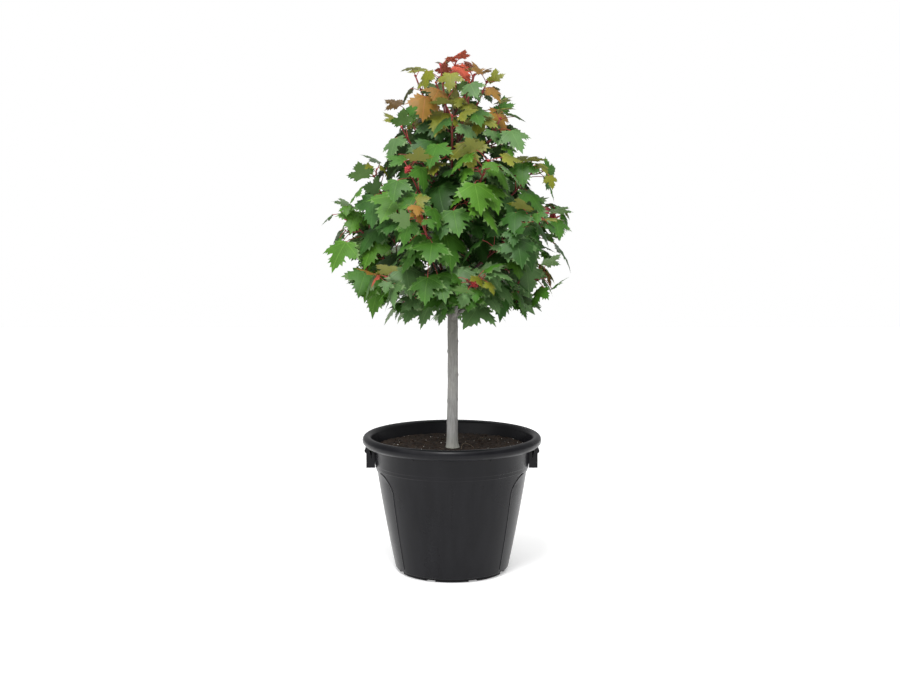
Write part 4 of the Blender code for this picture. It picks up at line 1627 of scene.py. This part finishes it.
@dataclass
class Lug:
    """A grip lug: two cheeks, a plate and a round bar, open below for the fingers."""

    side: int
    finish: bpy.types.Material
    half_width: float = 0.031
    outer: float = 0.2195
    foot: float = 0.2695
    cheek: float = 0.004
    plate: float = 0.003
    plate_top: float = 0.304
    inner: float = 0.186
    bar_radius: float = 0.0070
    bar_height: float = 0.3140
    bar_centre: float = 0.2170
    window: Profile = field(
        default_factory=lambda: [(0.2050, 0.3205), (0.2130, 0.3205), (0.2055, 0.2900)]
    )
    edge: float = 0.0008

    def build(self) -> bpy.types.Object:
        """Makes the lug and dresses it.

        Returns:
            The lug.
        """
        top = RIM_BOTTOM - GAP
        name = "grip_right" if self.side > 0 else "grip_left"
        low = (self.inner, -self.half_width, self.foot)
        lug = block(name, low, (self.outer, self.cheek - self.half_width, top))
        low = (self.inner, self.half_width - self.cheek, self.foot)
        cut(lug, block("cheek", low, (self.outer, self.half_width, top)), "UNION")
        low = (self.outer - self.plate, -self.half_width, self.foot)
        high = (self.outer, self.half_width, self.plate_top + self.bar_radius)
        cut(lug, block("plate", low, high), "UNION")
        deselect()
        bpy.ops.mesh.primitive_cylinder_add(
            vertices=40,
            radius=self.bar_radius,
            depth=2 * self.half_width + 0.001,
            location=(self.bar_centre, 0.0, self.bar_height),
            rotation=(math.pi / 2, 0.0, 0.0),
        )
        cut(lug, named("bar"), "UNION")
        corners = [Vector((x, -0.050, z)) for x, z in self.window]
        cut(lug, prism("window", corners, Vector((0.0, 0.100, 0.0))))
        upper = BAND_TOP_RADIUS + GAP
        lower = BAND_FOOT_RADIUS + GAP
        wall = [(0.01, 0.342), (upper, 0.342), (upper, RIM_BOTTOM)]
        wall += [(lower, BAND_FOOT), (lower, 0.260), (0.01, 0.260)]
        cut(lug, turned("wall", wall, 160))
        modify(lug, "BEVEL", width=self.edge, segments=3, limit_method="ANGLE")
        lug.data.transform(Matrix.Rotation(0.0 if self.side > 0 else math.pi, 4, "Z"))
        smooth(lug, 35.0)
        node = "lug_right" if self.side > 0 else "lug_left"
        return dress(lug, self.finish, [node])


def soil_bump(x: float, y: float) -> float:
    """Height of the loose soil above its mean level, as the solid has it.

    Args:
        x: Place to the right.
        y: Place to the back.

    Returns:
        The height.
    """
    radius = math.hypot(x, y)
    inner = max(0.0, (radius - 0.030) / 0.030)
    outer = max(0.0, (0.190 - radius) / 0.030)
    broad = math.sin(41 * x + 1.3) * math.cos(37 * y)
    fine = 0.6 * math.sin(83 * x - 61 * y)
    return min(1.0, inner, outer) * 0.0035 * (broad + fine)


@dataclass
class Soil:
    """The root ball with its loose top, crumbs, white grit and pale fibres."""

    earth: bpy.types.Material
    clod: bpy.types.Material
    grit: bpy.types.Material
    fibre: bpy.types.Material
    sides: int = 220
    rings: int = 78
    crumbs: int = 620
    grains: int = 95
    fibres: int = 60
    edge: float = 0.1965
    heart: float = 0.017

    def top(self, x: float, y: float) -> float:
        """Height of the finished surface.

        Args:
            x: Place to the right.
            y: Place to the back.

        Returns:
            The height above the floor.
        """
        place = Vector((x, y, 0.0))
        rough = noise.fractal(place * 70.0, 1.0, 2.2, 5) * 0.0022
        lumps = (0.5 - noise.cell(place * 90.0)) * 0.0006
        crumbly = max(0.0, noise.noise(place * 150.0)) * 0.0030
        radius = math.hypot(x, y)
        hem = min(1.0, max(0.0, (radius - 0.018) / 0.010))
        bank = 0.0025 * max(0.0, 1.0 - abs(radius - 0.178) / 0.030)
        return SOIL_TOP + soil_bump(x, y) + (rough + lumps + crumbly + bank) * hem

    def ground(self) -> bpy.types.Object:
        """The root ball's surface down to the pot's floor.

        Returns:
            The piece.
        """
        levels = (FLOOR_TOP + GAP, 0.10, 0.19, BODY_TOP)
        section = [(0.02, levels[0])]
        section += [(body_radius(level) - WALL - 0.0005, level) for level in levels]
        section.append((self.edge, SOIL_TOP))
        for step in range(1, self.rings + 1):
            share = step / self.rings
            section.append((self.edge + (self.heart - self.edge) * share, SOIL_TOP))
        section.append((0.002, SOIL_TOP))
        ground = turned("soil_surface", section, self.sides)
        for vertex in ground.data.vertices:
            if vertex.co.z > SOIL_TOP - 0.0001:
                vertex.co.z = self.top(vertex.co.x, vertex.co.y)
        smooth(ground, 60.0)
        return dress(ground, self.earth, ["soil"])

    def scatter(
        self, name: str, count: int, sizes: tuple[float, float], rng: random.Random
    ) -> bpy.types.Object:
        """Small rough bits strewn over the surface.

        Args:
            name: The piece's name.
            count: How many there are.
            sizes: Smallest and largest radius.
            rng: The seeded source of draws.

        Returns:
            The piece.
        """
        deselect()
        bpy.ops.mesh.primitive_ico_sphere_add(subdivisions=1, radius=1.0)
        seed = bpy.context.object
        corners = [vertex.co.copy() for vertex in seed.data.vertices]
        faces = [tuple(face.vertices) for face in seed.data.polygons]
        bpy.data.objects.remove(seed, do_unlink=True)
        heap = Heap(name)
        for _ in range(count):
            radius = 0.021 + (self.edge - 0.026) * math.sqrt(rng.random())
            turn = rng.uniform(0.0, 2 * math.pi)
            x, y = radius * math.cos(turn), radius * math.sin(turn)
            size = rng.uniform(*sizes) * (0.6 + 0.4 * rng.random())
            spin = Matrix.Rotation(rng.uniform(0, 6.28), 3, "Z") @ Matrix.Rotation(
                rng.uniform(0, 6.28), 3, "X"
            )
            stretch = Vector((rng.uniform(0.7, 1.5), rng.uniform(0.6, 1.0), rng.uniform(0.5, 0.9)))
            centre = Vector((x, y, self.top(x, y) + size * 0.25))
            points = []
            for corner in corners:
                rough = corner * rng.uniform(0.75, 1.15) * size
                points.append(centre + spin @ Vector(a * b for a, b in zip(rough, stretch)))
            heap.add((points, faces))
        return heap.build()

    def threads(self, rng: random.Random) -> bpy.types.Object:
        """Pale fibres and one long rootlet that lie on the surface.

        Args:
            rng: The seeded source of draws.

        Returns:
            The piece.
        """
        heap = Heap("soil_fibres")
        for index in range(self.fibres):
            radius = 0.025 + (self.edge - 0.040) * math.sqrt(rng.random())
            turn = rng.uniform(0.0, 2 * math.pi)
            place = Vector((radius * math.cos(turn), radius * math.sin(turn), 0.0))
            heading = rng.uniform(0.0, 2 * math.pi)
            length = rng.uniform(0.005, 0.018)
            bend = rng.uniform(-0.9, 0.9)
            width = rng.uniform(0.00018, 0.00036)
            if index == 0:
                place, heading, length, bend, width = Vector((0.024, -0.028, 0)), 1.9, 0.05, -2.3, 0.0006
            points = []
            for step in range(7):
                points.append(Vector((place.x, place.y, 0.0)))
                heading += bend / 6
                place += Vector((math.cos(heading), math.sin(heading), 0.0)) * length / 6
            for step, point in enumerate(points):
                arch = math.sin(math.pi * step / 6) * length * (0.22 if index == 0 else 0.12)
                point.z = self.top(point.x, point.y) + 0.0004 + arch
            heap.add(tube_shape(points, [width] * 7, 4))
        return heap.build()

    def build(self) -> list[bpy.types.Object]:
        """Makes all of the soil and dresses it.

        Returns:
            Its pieces.
        """
        rng = random.Random(11)
        ground = self.ground()
        crumbs = self.scatter("soil_crumbs", self.crumbs, (0.0010, 0.0036), rng)
        grains = self.scatter("soil_grit", self.grains, (0.0009, 0.0020), rng)
        threads = self.threads(rng)
        dress(crumbs, self.clod, ["soil"])
        dress(grains, self.grit, ["soil"])
        dress(threads, self.fibre, ["soil"])
        return [ground, crumbs, grains, threads]


# Trunk and boughs


@dataclass
class Trunk:
    """The trunk with its flare, scars and bark relief."""

    finish: bpy.types.Material
    step: float = 0.0035
    roundness: int = 10
    relief: float = 0.00055
    flare: float = 0.0030
    scars: tuple[tuple[float, float], ...] = (
        (0.5667, 200.0),
        (0.5600, 320.0),
        (0.5057, 338.0),
        (0.4421, 335.0),
        (0.4383, 205.0),
        (0.3970, 300.0),
        (0.4720, 80.0),
        (0.5320, 120.0),
        (0.5920, 20.0),
        (0.3820, 150.0),
        (0.6120, 262.0),
    )
    scar_rise: float = 0.0020
    scar_reach: float = 0.0042

    def rise(self, point: Vector) -> float:
        """How far the bark stands out at a point.

        Args:
            point: A point of the plain trunk.

        Returns:
            The distance along its normal.
        """
        axis = trunk_axis(point.z)
        turn = math.atan2(point.y - axis.y, point.x - axis.x)
        grain = noise.fractal(Vector((point.x * 130, point.y * 130, point.z * 24)), 1.0, 2.1, 4)
        out = grain * self.relief
        radius = between(TRUNK, point.z)
        for height, degrees in self.scars:
            along = (point.z - height) / self.scar_reach
            around = (turn - math.radians(degrees) + math.pi) % (2 * math.pi) - math.pi
            around = around * radius / self.scar_reach
            out += self.scar_rise * math.exp(-(along * along * 1.6 + around * around * 0.5))
            ring = math.exp(-((along - 0.9) ** 2) * 7.0 - around * around * 0.12)
            out += 0.00035 * ring
        foot = math.exp(-(point.z - SOIL_TOP) / 0.011)
        out += foot * self.flare * max(0.0, 0.35 + 0.65 * math.cos(turn - 0.2))
        out += foot * 0.0008 * math.sin(3.0 * turn + 1.0)
        return out * min(1.0, radius / 0.008)

    def build(self) -> bpy.types.Object:
        """Makes the trunk and dresses it.

        Returns:
            The trunk.
        """
        low, high = TRUNK[0][0], TRUNK[-1][0]
        count = round((high - low) / self.step)
        heights = [low + (high - low) * index / count for index in range(count + 1)]
        radii = [between(TRUNK, height) for height in heights]
        trunk = limb("trunk_bark", [trunk_axis(z) for z in heights], radii, self.roundness)
        moved_out(trunk, self.rise)
        for vertex in trunk.data.vertices:
            vertex.co.z = max(vertex.co.z, low)
        smooth(trunk, 60.0)
        return dress(trunk, self.finish, ["trunk"])


@dataclass
class Boughs:
    """All bare boughs, each with a collar where it leaves the trunk."""

    finish: bpy.types.Material
    step: float = 0.004
    roundness: int = 5
    collar: float = 0.55
    collar_reach: float = 0.015
    relief: float = 0.00035

    def bough(self, points: list[Vector], radii: list[float]) -> bpy.types.Object:
        """One bough from inside the trunk to its mass.

        Args:
            points: The points that it runs through.
            radii: Its radius at each.

        Returns:
            The bough.
        """
        length = sum((b - a).length for a, b in zip(points, points[1:]))
        count = max(8, round(length / self.step))
        rows, widths = [], []
        heading = (points[1] - points[0]).normalized()
        leaves_trunk = between(TRUNK, points[0].z) / max(0.35, math.hypot(heading.x, heading.y))
        for index in range(count + 1):
            share = index / count
            point = smooth_point(points, share)
            radius = radii[0] + (radii[-1] - radii[0]) * share
            beyond = max(0.0, (point - points[0]).length - leaves_trunk * 0.9)
            radius *= 1.0 + self.collar * math.exp(-beyond / self.collar_reach)
            rows.append(point)
            widths.append(min(radius, 0.80 * between(TRUNK, points[0].z)))
        return limb("bough", rows, widths, self.roundness)

    def build(self, boughs: list[Bough]) -> bpy.types.Object:
        """Makes the boughs and dresses them.

        Args:
            boughs: Name, points and radii of each.

        Returns:
            All of them as one piece.
        """
        made = [self.bough(points, radii) for _, points, radii in boughs]
        whole = joined("bough_bark", made)
        moved_out(
            whole, lambda point: self.relief * noise.fractal(point * 150.0, 1.0, 2.1, 4)
        )
        smooth(whole, 60.0)
        return dress(whole, self.finish, [name for name, _, _ in boughs])


def smooth_point(points: Sequence[Vector], share: float) -> Vector:
    """A point on the smooth curve through a row of points.

    Args:
        points: The row.
        share: How far along it, from 0 to 1.

    Returns:
        The point.
    """
    place = min(max(share, 0.0), 1.0) * (len(points) - 1)
    index = min(int(place), len(points) - 2)
    t = place - index
    p1, p2 = points[index], points[index + 1]
    p0 = points[index - 1] if index else p1 * 2 - p2
    p3 = points[index + 2] if index + 2 < len(points) else p2 * 2 - p1
    whole = p1 * 2 + (p2 - p0) * t + (p0 * 2 - p1 * 5 + p2 * 4 - p3) * t * t
    return (whole + (p1 * 3 - p0 - p2 * 3 + p3) * t * t * t) * 0.5


# Foliage


# Right half of a blade from its stalk to its tip, in blade lengths
HALF_BLADE = (
    (0.012, 0.000),
    (0.110, -0.040),
    (0.215, -0.048),
    (0.340, -0.105),
    (0.335, -0.025),
    (0.455, -0.022),
    (0.395, 0.070),
    (0.370, 0.112),
    (0.480, 0.130),
    (0.580, 0.135),
    (0.545, 0.220),
    (0.668, 0.248),
    (0.618, 0.315),
    (0.745, 0.425),
    (0.585, 0.392),
    (0.575, 0.480),
    (0.470, 0.425),
    (0.445, 0.525),
    (0.345, 0.455),
    (0.235, 0.462),
    (0.262, 0.560),
    (0.365, 0.655),
    (0.250, 0.650),
    (0.290, 0.785),
    (0.172, 0.745),
    (0.160, 0.875),
    (0.085, 0.880),
    (0.000, 1.050),
)
MIDRIB = ((0.0, 0.20), (0.0, 0.44), (0.0, 0.70))
LOBE_RIB = ((0.19, 0.105), (0.40, 0.225))
BETWEEN_RIBS = ((0.14, 0.33), (0.26, 0.30), (0.12, 0.62), (0.28, 0.05))


@dataclass(frozen=True)
class BladeForm:
    """One of several like leaf blades: its outline, folds and droop differ by seed."""

    seed: int
    thickness: float = 0.0045
    jitter: float = 0.013
    bulge: float = 0.026

    def shape(self) -> tuple[Shape, list[float], list[tuple[float, float]]]:
        """The blade in blade lengths, its stalk end at the origin and its tip along Y.

        Returns:
            Points and faces, each face's underside mark, and the flat place of each point.
        """
        rng = random.Random(self.seed)
        side_fall = LEAF_SIDE_FALL * rng.uniform(0.7, 1.35)
        tip_fall = LEAF_TIP_FALL * rng.uniform(0.7, 1.6)
        twist = rng.uniform(-0.10, 0.10)
        lean = rng.uniform(-0.05, 0.05)
        outline = []
        for sign in (1, -1):
            half = HALF_BLADE if sign > 0 else tuple(reversed(HALF_BLADE[:-1]))
            for x, y in half:
                free = self.jitter if y > 0.05 or x > 0.2 else 0.0
                wide = sign * x + rng.uniform(-free, free)
                outline.append((wide + lean * y * y, y + rng.uniform(-free, free)))
        edge = len(outline)
        inner = [(x + lean * y * y, y, 0.0) for x, y in MIDRIB]
        inner += [(sign * x + lean * y * y, y, 0.0) for sign in (1, -1) for x, y in LOBE_RIB]
        inner += [(sign * x + lean * y * y, y, 1.0) for sign in (1, -1) for x, y in BETWEEN_RIBS]
        flat = outline + [(x, y) for x, y, _ in inner]
        ring = [(index, (index + 1) % edge) for index in range(edge)]
        tip = len(HALF_BLADE) - 1
        ribs = [(edge, edge + 1), (edge + 1, edge + 2), (edge + 2, tip)]
        ribs += [(edge + 3, edge + 4), (edge + 5, edge + 6)]
        made = delaunay_2d_cdt([Vector(p) for p in flat], ring + ribs, [list(range(edge))], 1, 1e-7)
        source = [found[0] if found else None for found in made[3]]
        heights = [0.0] * edge + [kind for _, _, kind in inner]
        upper, places = [], []
        for point, origin in zip(made[0], source):
            x, y = point
            height = -side_fall * x * x - tip_fall * y * y + twist * x * y
            kind = heights[origin] if origin is not None else 0.0
            height += self.bulge * kind
            on_edge = origin is not None and origin < edge
            if on_edge:
                height += rng.uniform(-0.010, 0.014)
            upper.append((Vector((x, y, height)), on_edge))
            places.append((x, y))
        points = [point for point, _ in upper]
        lower = []
        for index, (point, on_edge) in enumerate(upper):
            if on_edge:
                lower.append(index)
                continue
            lower.append(len(points))
            points.append(point - Vector((0.0, 0.0, self.thickness)))
            places.append(places[index])
        faces, marks = [], []
        for face in made[2]:
            a, b, c = face
            normal = (points[b] - points[a]).cross(points[c] - points[a])
            turned_up = (a, b, c) if normal.z > 0 else (a, c, b)
            faces.append(turned_up)
            marks.append(0.0)
            faces.append(tuple(lower[index] for index in reversed(turned_up)))
            marks.append(1.0)
        return (points, faces), marks, places


@dataclass
class Foliage:
    """All masses: shoots, twigs, leaf stalks, leaves, buds and flower clusters."""

    wood: bpy.types.Material
    stalk: bpy.types.Material
    bud: bpy.types.Material
    forms: int = 9
    seed: int = 21
    shoot_tip: float = 0.0019
    shoot_steps: int = 26
    shoot_sides: int = 8
    side_root: float = 0.0021
    side_tip: float = 0.0014
    stalk_radius: float = 0.00100
    stalk_steps: int = 6
    bud_length: float = 0.0034
    cluster_radius: float = 0.0115
    cluster_buds: int = 30
    cluster_top: float = 1.13
    high_scale: float = 0.84

    def shoots(self, masses: list[Mass]) -> bpy.types.Object:
        """Shoots and side twigs of all masses.

        Args:
            masses: The grown masses.

        Returns:
            The piece.
        """
        heap = Heap("twigs")
        for mass in masses:
            rows = [smooth_point(mass.stem, s / self.shoot_steps) for s in range(self.shoot_steps + 1)]
            root = mass.radii[0]
            if mass.from_trunk:
                rows.insert(0, rows[0] - (rows[1] - rows[0]) * 0.2)
            widths = []
            for index in range(len(rows)):
                share = index / (len(rows) - 1)
                swelling = 1.0
                for pair in range(mass.pairs):
                    off = (share - (pair + FIRST_PAIR) / mass.pairs) / 0.022
                    swelling += 0.22 * math.exp(-off * off)
                widths.append((root * 1.1 + (self.shoot_tip - root * 1.1) * share) * swelling)
            young = 0.25 if mass.stem[0].z < 0.97 else 0.75
            shape = tube_shape(rows, widths, self.shoot_sides)
            per_ring = 2 * self.shoot_sides
            marks = []
            for index in range(len(shape[1])):
                share = min(1.0, index / per_ring / (len(rows) - 1))
                marks.append(min(1.0, young * 0.4 + share * 1.1))
            heap.add(shape, marks)
            for twig in mass.twigs:
                points = [smooth_point(twig, step / 8) for step in range(9)]
                thinning = (self.side_tip - self.side_root) / 8
                radii = [self.side_root + thinning * step for step in range(9)]
                heap.add(tube_shape(points, radii, 6), 0.85)
        return heap.build()

    def stalks(self, masses: list[Mass]) -> bpy.types.Object:
        """The leaf stalks.

        Args:
            masses: The grown masses.

        Returns:
            The piece.
        """
        rng = random.Random(self.seed)
        heap = Heap("leaf_stalks")
        for mass in masses:
            for leaf in mass.leaves:
                end = leaf.frame.translation
                length = (end - leaf.root).length
                bow = UP * length * rng.uniform(0.03, 0.12)
                rows, radii = [], []
                for step in range(self.stalk_steps + 1):
                    share = step / self.stalk_steps
                    rows.append(leaf.root.lerp(end, share) + bow * 4 * share * (1 - share))
                    flare = 0.9 * math.exp(-share * 9) + 0.35 * math.exp(-(1 - share) * 9)
                    radii.append(self.stalk_radius * (1 + flare) * (0.8 + 2.2 * leaf.size))
                heap.add(tube_shape(rows, radii, 5), rng.uniform(0.2, 1.0))
        return heap.build()

    def ovoid(self) -> Shape:
        """A pointed bud, one long from its foot at the origin.

        Returns:
            Its points and faces.
        """
        rings = ((0.0, 0.30), (0.25, 0.50), (0.60, 0.40), (0.88, 0.16))
        points = [Vector((0.0, 0.0, z)) for z, _ in rings]
        shape = tube_shape(points, [radius for _, radius in rings], 5)
        return shape

    def buds(self, masses: list[Mass]) -> bpy.types.Object:
        """Buds at the nodes and shoot tips, and clusters of them on every other shoot.

        Args:
            masses: The grown masses.

        Returns:
            The piece.
        """
        rng = random.Random(self.seed + 1)
        points, faces = self.ovoid()
        heap = Heap("buds")

        def put(foot: Vector, way: Vector, length: float) -> None:
            """Adds one bud that points a way."""
            turn = UP.rotation_difference(way).to_matrix()
            placed = [foot + turn @ (point * length) for point in points]
            heap.add((placed, faces), rng.uniform(0.0, 1.0))

        for mass in masses:
            for leaf in mass.leaves:
                way = (leaf.frame.translation - leaf.root).normalized()
                put(leaf.root + UP * 0.0012, (way * 0.6 + UP).normalized(), self.bud_length)
            tip, heading = path_point(mass.stem, 1.0)
            put(tip - heading * 0.001, heading, self.bud_length * 1.9)
            if not mass.tip_bud or tip.z > self.cluster_top:
                continue
            for index in range(self.cluster_buds):
                lift = 1 - 2 * (index + 0.5) / self.cluster_buds
                turn = index * 2.399963
                flat = math.sqrt(max(0.0, 1 - lift * lift))
                way = Vector((flat * math.cos(turn), flat * math.sin(turn), lift))
                way = (way + Vector((rng.gauss(0, 0.2) for _ in range(3)))).normalized()
                reach = self.cluster_radius * rng.uniform(0.25, 0.62)
                put(tip + way * reach * 0.7, way, self.cluster_radius * rng.uniform(0.5, 0.8))
        return heap.build()

    def tint(self, leaf: Leaf, mass: Mass, spray: Tint, rng: random.Random) -> Tint:
        """The colour of a leaf, by its spray, its age and its place; leaves in the inner crown take the darkened
        greens as painted shade.

        Args:
            leaf: The leaf.
            mass: The mass that it grows in.
            spray: The main colour of that mass.
            rng: The seeded source of draws.

        Returns:
            The colour.
        """
        young = (leaf.root - mass.stem[-1]).length < 0.030
        centre = leaf.frame @ Vector((0.0, leaf.size * 0.4, 0.0))
        outward = math.hypot(centre.x, centre.y) / between(CROWN, centre.z)
        if mass.name == "foliage_leader":
            return rng.choice((Tint.RED, Tint.RED, Tint.BRONZE))
        if young and mass.stem[-1].z > 1.18:
            return rng.choices((Tint.RED, Tint.BRONZE, Tint.OLIVE), (0.16, 0.24, 0.60))[0]
        if young and leaf.size < 0.060:
            picks = (Tint.OLIVE, Tint.BRONZE, Tint.RED, Tint.PINK, Tint.MID)
            return rng.choices(picks, (0.38, 0.08, 0.015, 0.015, 0.51))[0]
        # High leaves: mostly olive, some bronze and mid green, and some of the greyed green that paints sheen.
        if centre.z > 1.14:
            picks = (Tint.OLIVE, Tint.BRONZE, Tint.MID, Tint.GREY)
            return rng.choices(picks, (0.66, 0.08, 0.12, 0.14))[0]
        # Painted shade: leaves in the inner part of the crown take the two darkened greens.
        if outward < 0.55:
            return rng.choices((Tint.DEEP, Tint.SHADE), (0.70, 0.30))[0]
        # Elsewhere a leaf takes its spray's colour, or the mid green or one of its copies with painted light,
        # painted shade or painted sheen.
        if rng.random() < 0.62:
            return spray
        return rng.choices((Tint.MID, Tint.GREY, Tint.SHADE, Tint.BRIGHT), (3, 2, 3, 2))[0]

    def blades(self, masses: list[Mass]) -> list[bpy.types.Object]:
        """All leaf blades, one piece for each colour.

        Args:
            masses: The grown masses.

        Returns:
            The pieces, dressed.
        """
        rng = random.Random(self.seed + 2)
        forms = [BladeForm(seed).shape() for seed in range(self.forms)]
        heaps = {tint: Heap(f"leaves_{tint.name.lower()}") for tint in Tint}
        # Each spray's main colour: the mid green or one of its copies with painted light, painted shade or painted
        # sheen, dealt out at random.
        sprays = (Tint.BRIGHT, Tint.MID, Tint.GREY, Tint.MID, Tint.SHADE, Tint.BRIGHT)
        for mass in masses:
            spray = rng.choice(sprays)
            if mass.stem[-1].z > 1.14 and rng.random() < 0.5:
                spray = Tint.OLIVE
            scale = self.high_scale if mass.stem[-1].z > 1.18 else 1.0
            for leaf in mass.leaves:
                (points, faces), marks, flat = rng.choice(forms)
                placed = [leaf.frame @ (point * leaf.size * scale) for point in points]
                heaps[self.tint(leaf, mass, spray, rng)].add((placed, faces), marks, flat)
        names = [mass.name for mass in masses]
        made = []
        for tint, heap in heaps.items():
            if heap.points:
                finish = LeafFinish(tint).build()
                made.append(dress(heap.build("underside"), finish, names))
        return made

    def build(self, masses: list[Mass]) -> list[bpy.types.Object]:
        """Makes all of the foliage and dresses it.

        Args:
            masses: The grown masses.

        Returns:
            Its pieces.
        """
        names = [mass.name for mass in masses]
        shoots = dress(self.shoots(masses), self.wood, names)
        stalks = dress(self.stalks(masses), self.stalk, names)
        buds = dress(self.buds(masses), self.bud, names)
        return [shoots, stalks, buds, *self.blades(masses)]


# Studio


@dataclass
class Studio:
    """A pale floor, soft lights and the camera."""

    floor_half: float = 6.0
    lens: float = 54.12
    camera_place: tuple[float, float, float] = (-0.005, -3.44, 0.985)
    camera_tilt: float = 83.65
    sky: float = 0.42
    floor_glow: float = 0.30

    def floor(self) -> bpy.types.Object:
        """The plain floor.

        Returns:
            The floor.
        """
        deselect()
        bpy.ops.mesh.primitive_grid_add(x_subdivisions=8, y_subdivisions=8, size=2 * self.floor_half)
        floor = named("studio_floor")
        for vertex in floor.data.vertices:
            vertex.co.z = -0.0002
        graph = Graph("pale_floor", 0.85)
        soft = graph.grain(graph.place(), 2.0, 2.0)
        colour = graph.mixed(soft, (0.86, 0.86, 0.86), (0.90, 0.90, 0.90))
        glow = graph.shader.inputs
        glow["Emission Color"].default_value = (1.0, 1.0, 1.0, 1.0)
        glow["Emission Strength"].default_value = self.floor_glow
        floor.data.materials.append(graph.finished(colour))
        return floor

    def lamp(self, name: str, place: tuple[float, float, float], size: float, power: float) -> None:
        """A soft square light that faces the crown.

        Args:
            name: The light's name.
            place: Where it stands.
            size: Length of its side.
            power: Its power in watts.
        """
        data = bpy.data.lights.new(name, "AREA")
        data.energy = power
        data.shape = "SQUARE"
        data.size = size
        made = bpy.data.objects.new(name, data)
        bpy.context.scene.collection.objects.link(made)
        made.location = place
        aim = Vector((0.0, 0.0, 0.75)) - Vector(place)
        made.rotation_euler = aim.to_track_quat("-Z", "Y").to_euler()

    def sun(self, name: str, way: tuple[float, float, float], width: float, power: float) -> None:
        """A broad even light from one side.

        Args:
            name: The light's name.
            way: The direction that it comes from.
            width: How wide it looks, in degrees.
            power: Its strength.
        """
        data = bpy.data.lights.new(name, "SUN")
        data.energy = power
        data.angle = math.radians(width)
        made = bpy.data.objects.new(name, data)
        bpy.context.scene.collection.objects.link(made)
        made.location = Vector(way) * 4.0
        made.rotation_euler = Vector(way).to_track_quat("Z", "Y").to_euler()

    def surroundings(self) -> None:
        """A dim sky that looks white behind the tree."""
        world = bpy.data.worlds.new("studio")
        world.use_nodes = True
        nodes, links = world.node_tree.nodes, world.node_tree.links
        dim = nodes["Background"]
        dim.inputs["Color"].default_value = (1.0, 1.0, 1.0, 1.0)
        dim.inputs["Strength"].default_value = self.sky
        seen = nodes.new("ShaderNodeBackground")
        seen.inputs["Color"].default_value = (1.0, 1.0, 1.0, 1.0)
        ray = nodes.new("ShaderNodeLightPath")
        mixed = nodes.new("ShaderNodeMixShader")
        links.new(ray.outputs["Is Camera Ray"], mixed.inputs["Fac"])
        links.new(dim.outputs["Background"], mixed.inputs[1])
        links.new(seen.outputs["Background"], mixed.inputs[2])
        links.new(mixed.outputs["Shader"], nodes["World Output"].inputs["Surface"])
        bpy.context.scene.world = world

    def build(self) -> None:
        """Sets the floor, the lights, the sky and the camera."""
        self.floor()
        self.lamp("front", (-0.30, -1.75, 3.0), 0.6, 48.0)
        self.sun("key", (-0.50, -0.95, 1.0), 80.0, 1.30)
        self.sun("top", (0.05, 0.05, 1.0), 80.0, 1.35)
        self.surroundings()
        data = bpy.data.cameras.new("camera")
        data.lens = self.lens
        data.sensor_width = 36.0
        data.clip_end = 50.0
        camera = bpy.data.objects.new("camera", data)
        bpy.context.scene.collection.objects.link(camera)
        camera.location = self.camera_place
        camera.rotation_euler = (math.radians(self.camera_tilt), 0.0, 0.0)
        bpy.context.scene.camera = camera
        bpy.context.scene.view_settings.view_transform = "Standard"


def report(pieces: Iterable[bpy.types.Object]) -> None:
    """Logs the name and size of each piece."""
    for piece in pieces:
        LOG.info("%s: %d faces", piece.name, len(piece.data.polygons))


def main() -> None:
    """Builds the pot, the soil, the wood, the foliage and the studio in that order."""
    logging.basicConfig(level=logging.INFO, format="%(name)s: %(message)s")
    plastic = PlasticFinish().build()
    report([Pot(plastic).build(), Lug(1, plastic).build(), Lug(-1, plastic).build()])
    earth = EarthFinish("earth_finish", (0.0048, 0.0030, 0.0021), (0.0250, 0.0152, 0.0100), (0.052, 0.034, 0.023))
    clod = EarthFinish("clod_finish", (0.0085, 0.0052, 0.0034), (0.044, 0.026, 0.016), (0.085, 0.056, 0.036), 140.0)
    grit = EarthFinish("grit_finish", (0.62, 0.60, 0.55), (0.82, 0.80, 0.74), (0.90, 0.89, 0.85), 300.0)
    fibre = EarthFinish("fibre_finish", (0.09, 0.065, 0.045), (0.22, 0.17, 0.12), (0.32, 0.27, 0.20), 200.0)
    report(Soil(earth.build(), clod.build(), grit.build(), fibre.build()).build())
    bark = BarkFinish().build()
    boughs, masses = grow_tree()
    report([Trunk(bark).build(), Boughs(bark).build(boughs)])
    wood = ShootFinish("shoot_finish", (0.075, 0.038, 0.028), (0.260, 0.032, 0.028))
    stalk = ShootFinish("stalk_finish", (0.240, 0.060, 0.034), (0.360, 0.036, 0.036), 0.36)
    bud = ShootFinish("bud_finish", (0.260, 0.016, 0.018), (0.470, 0.030, 0.034), 0.38)
    foliage = Foliage(wood.build(), stalk.build(), bud.build())
    report(foliage.build(masses))
    LOG.info("leaves: %d", sum(len(mass.leaves) for mass in masses))
    Studio().build()
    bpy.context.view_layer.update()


if __name__ == "__main__":
    main()
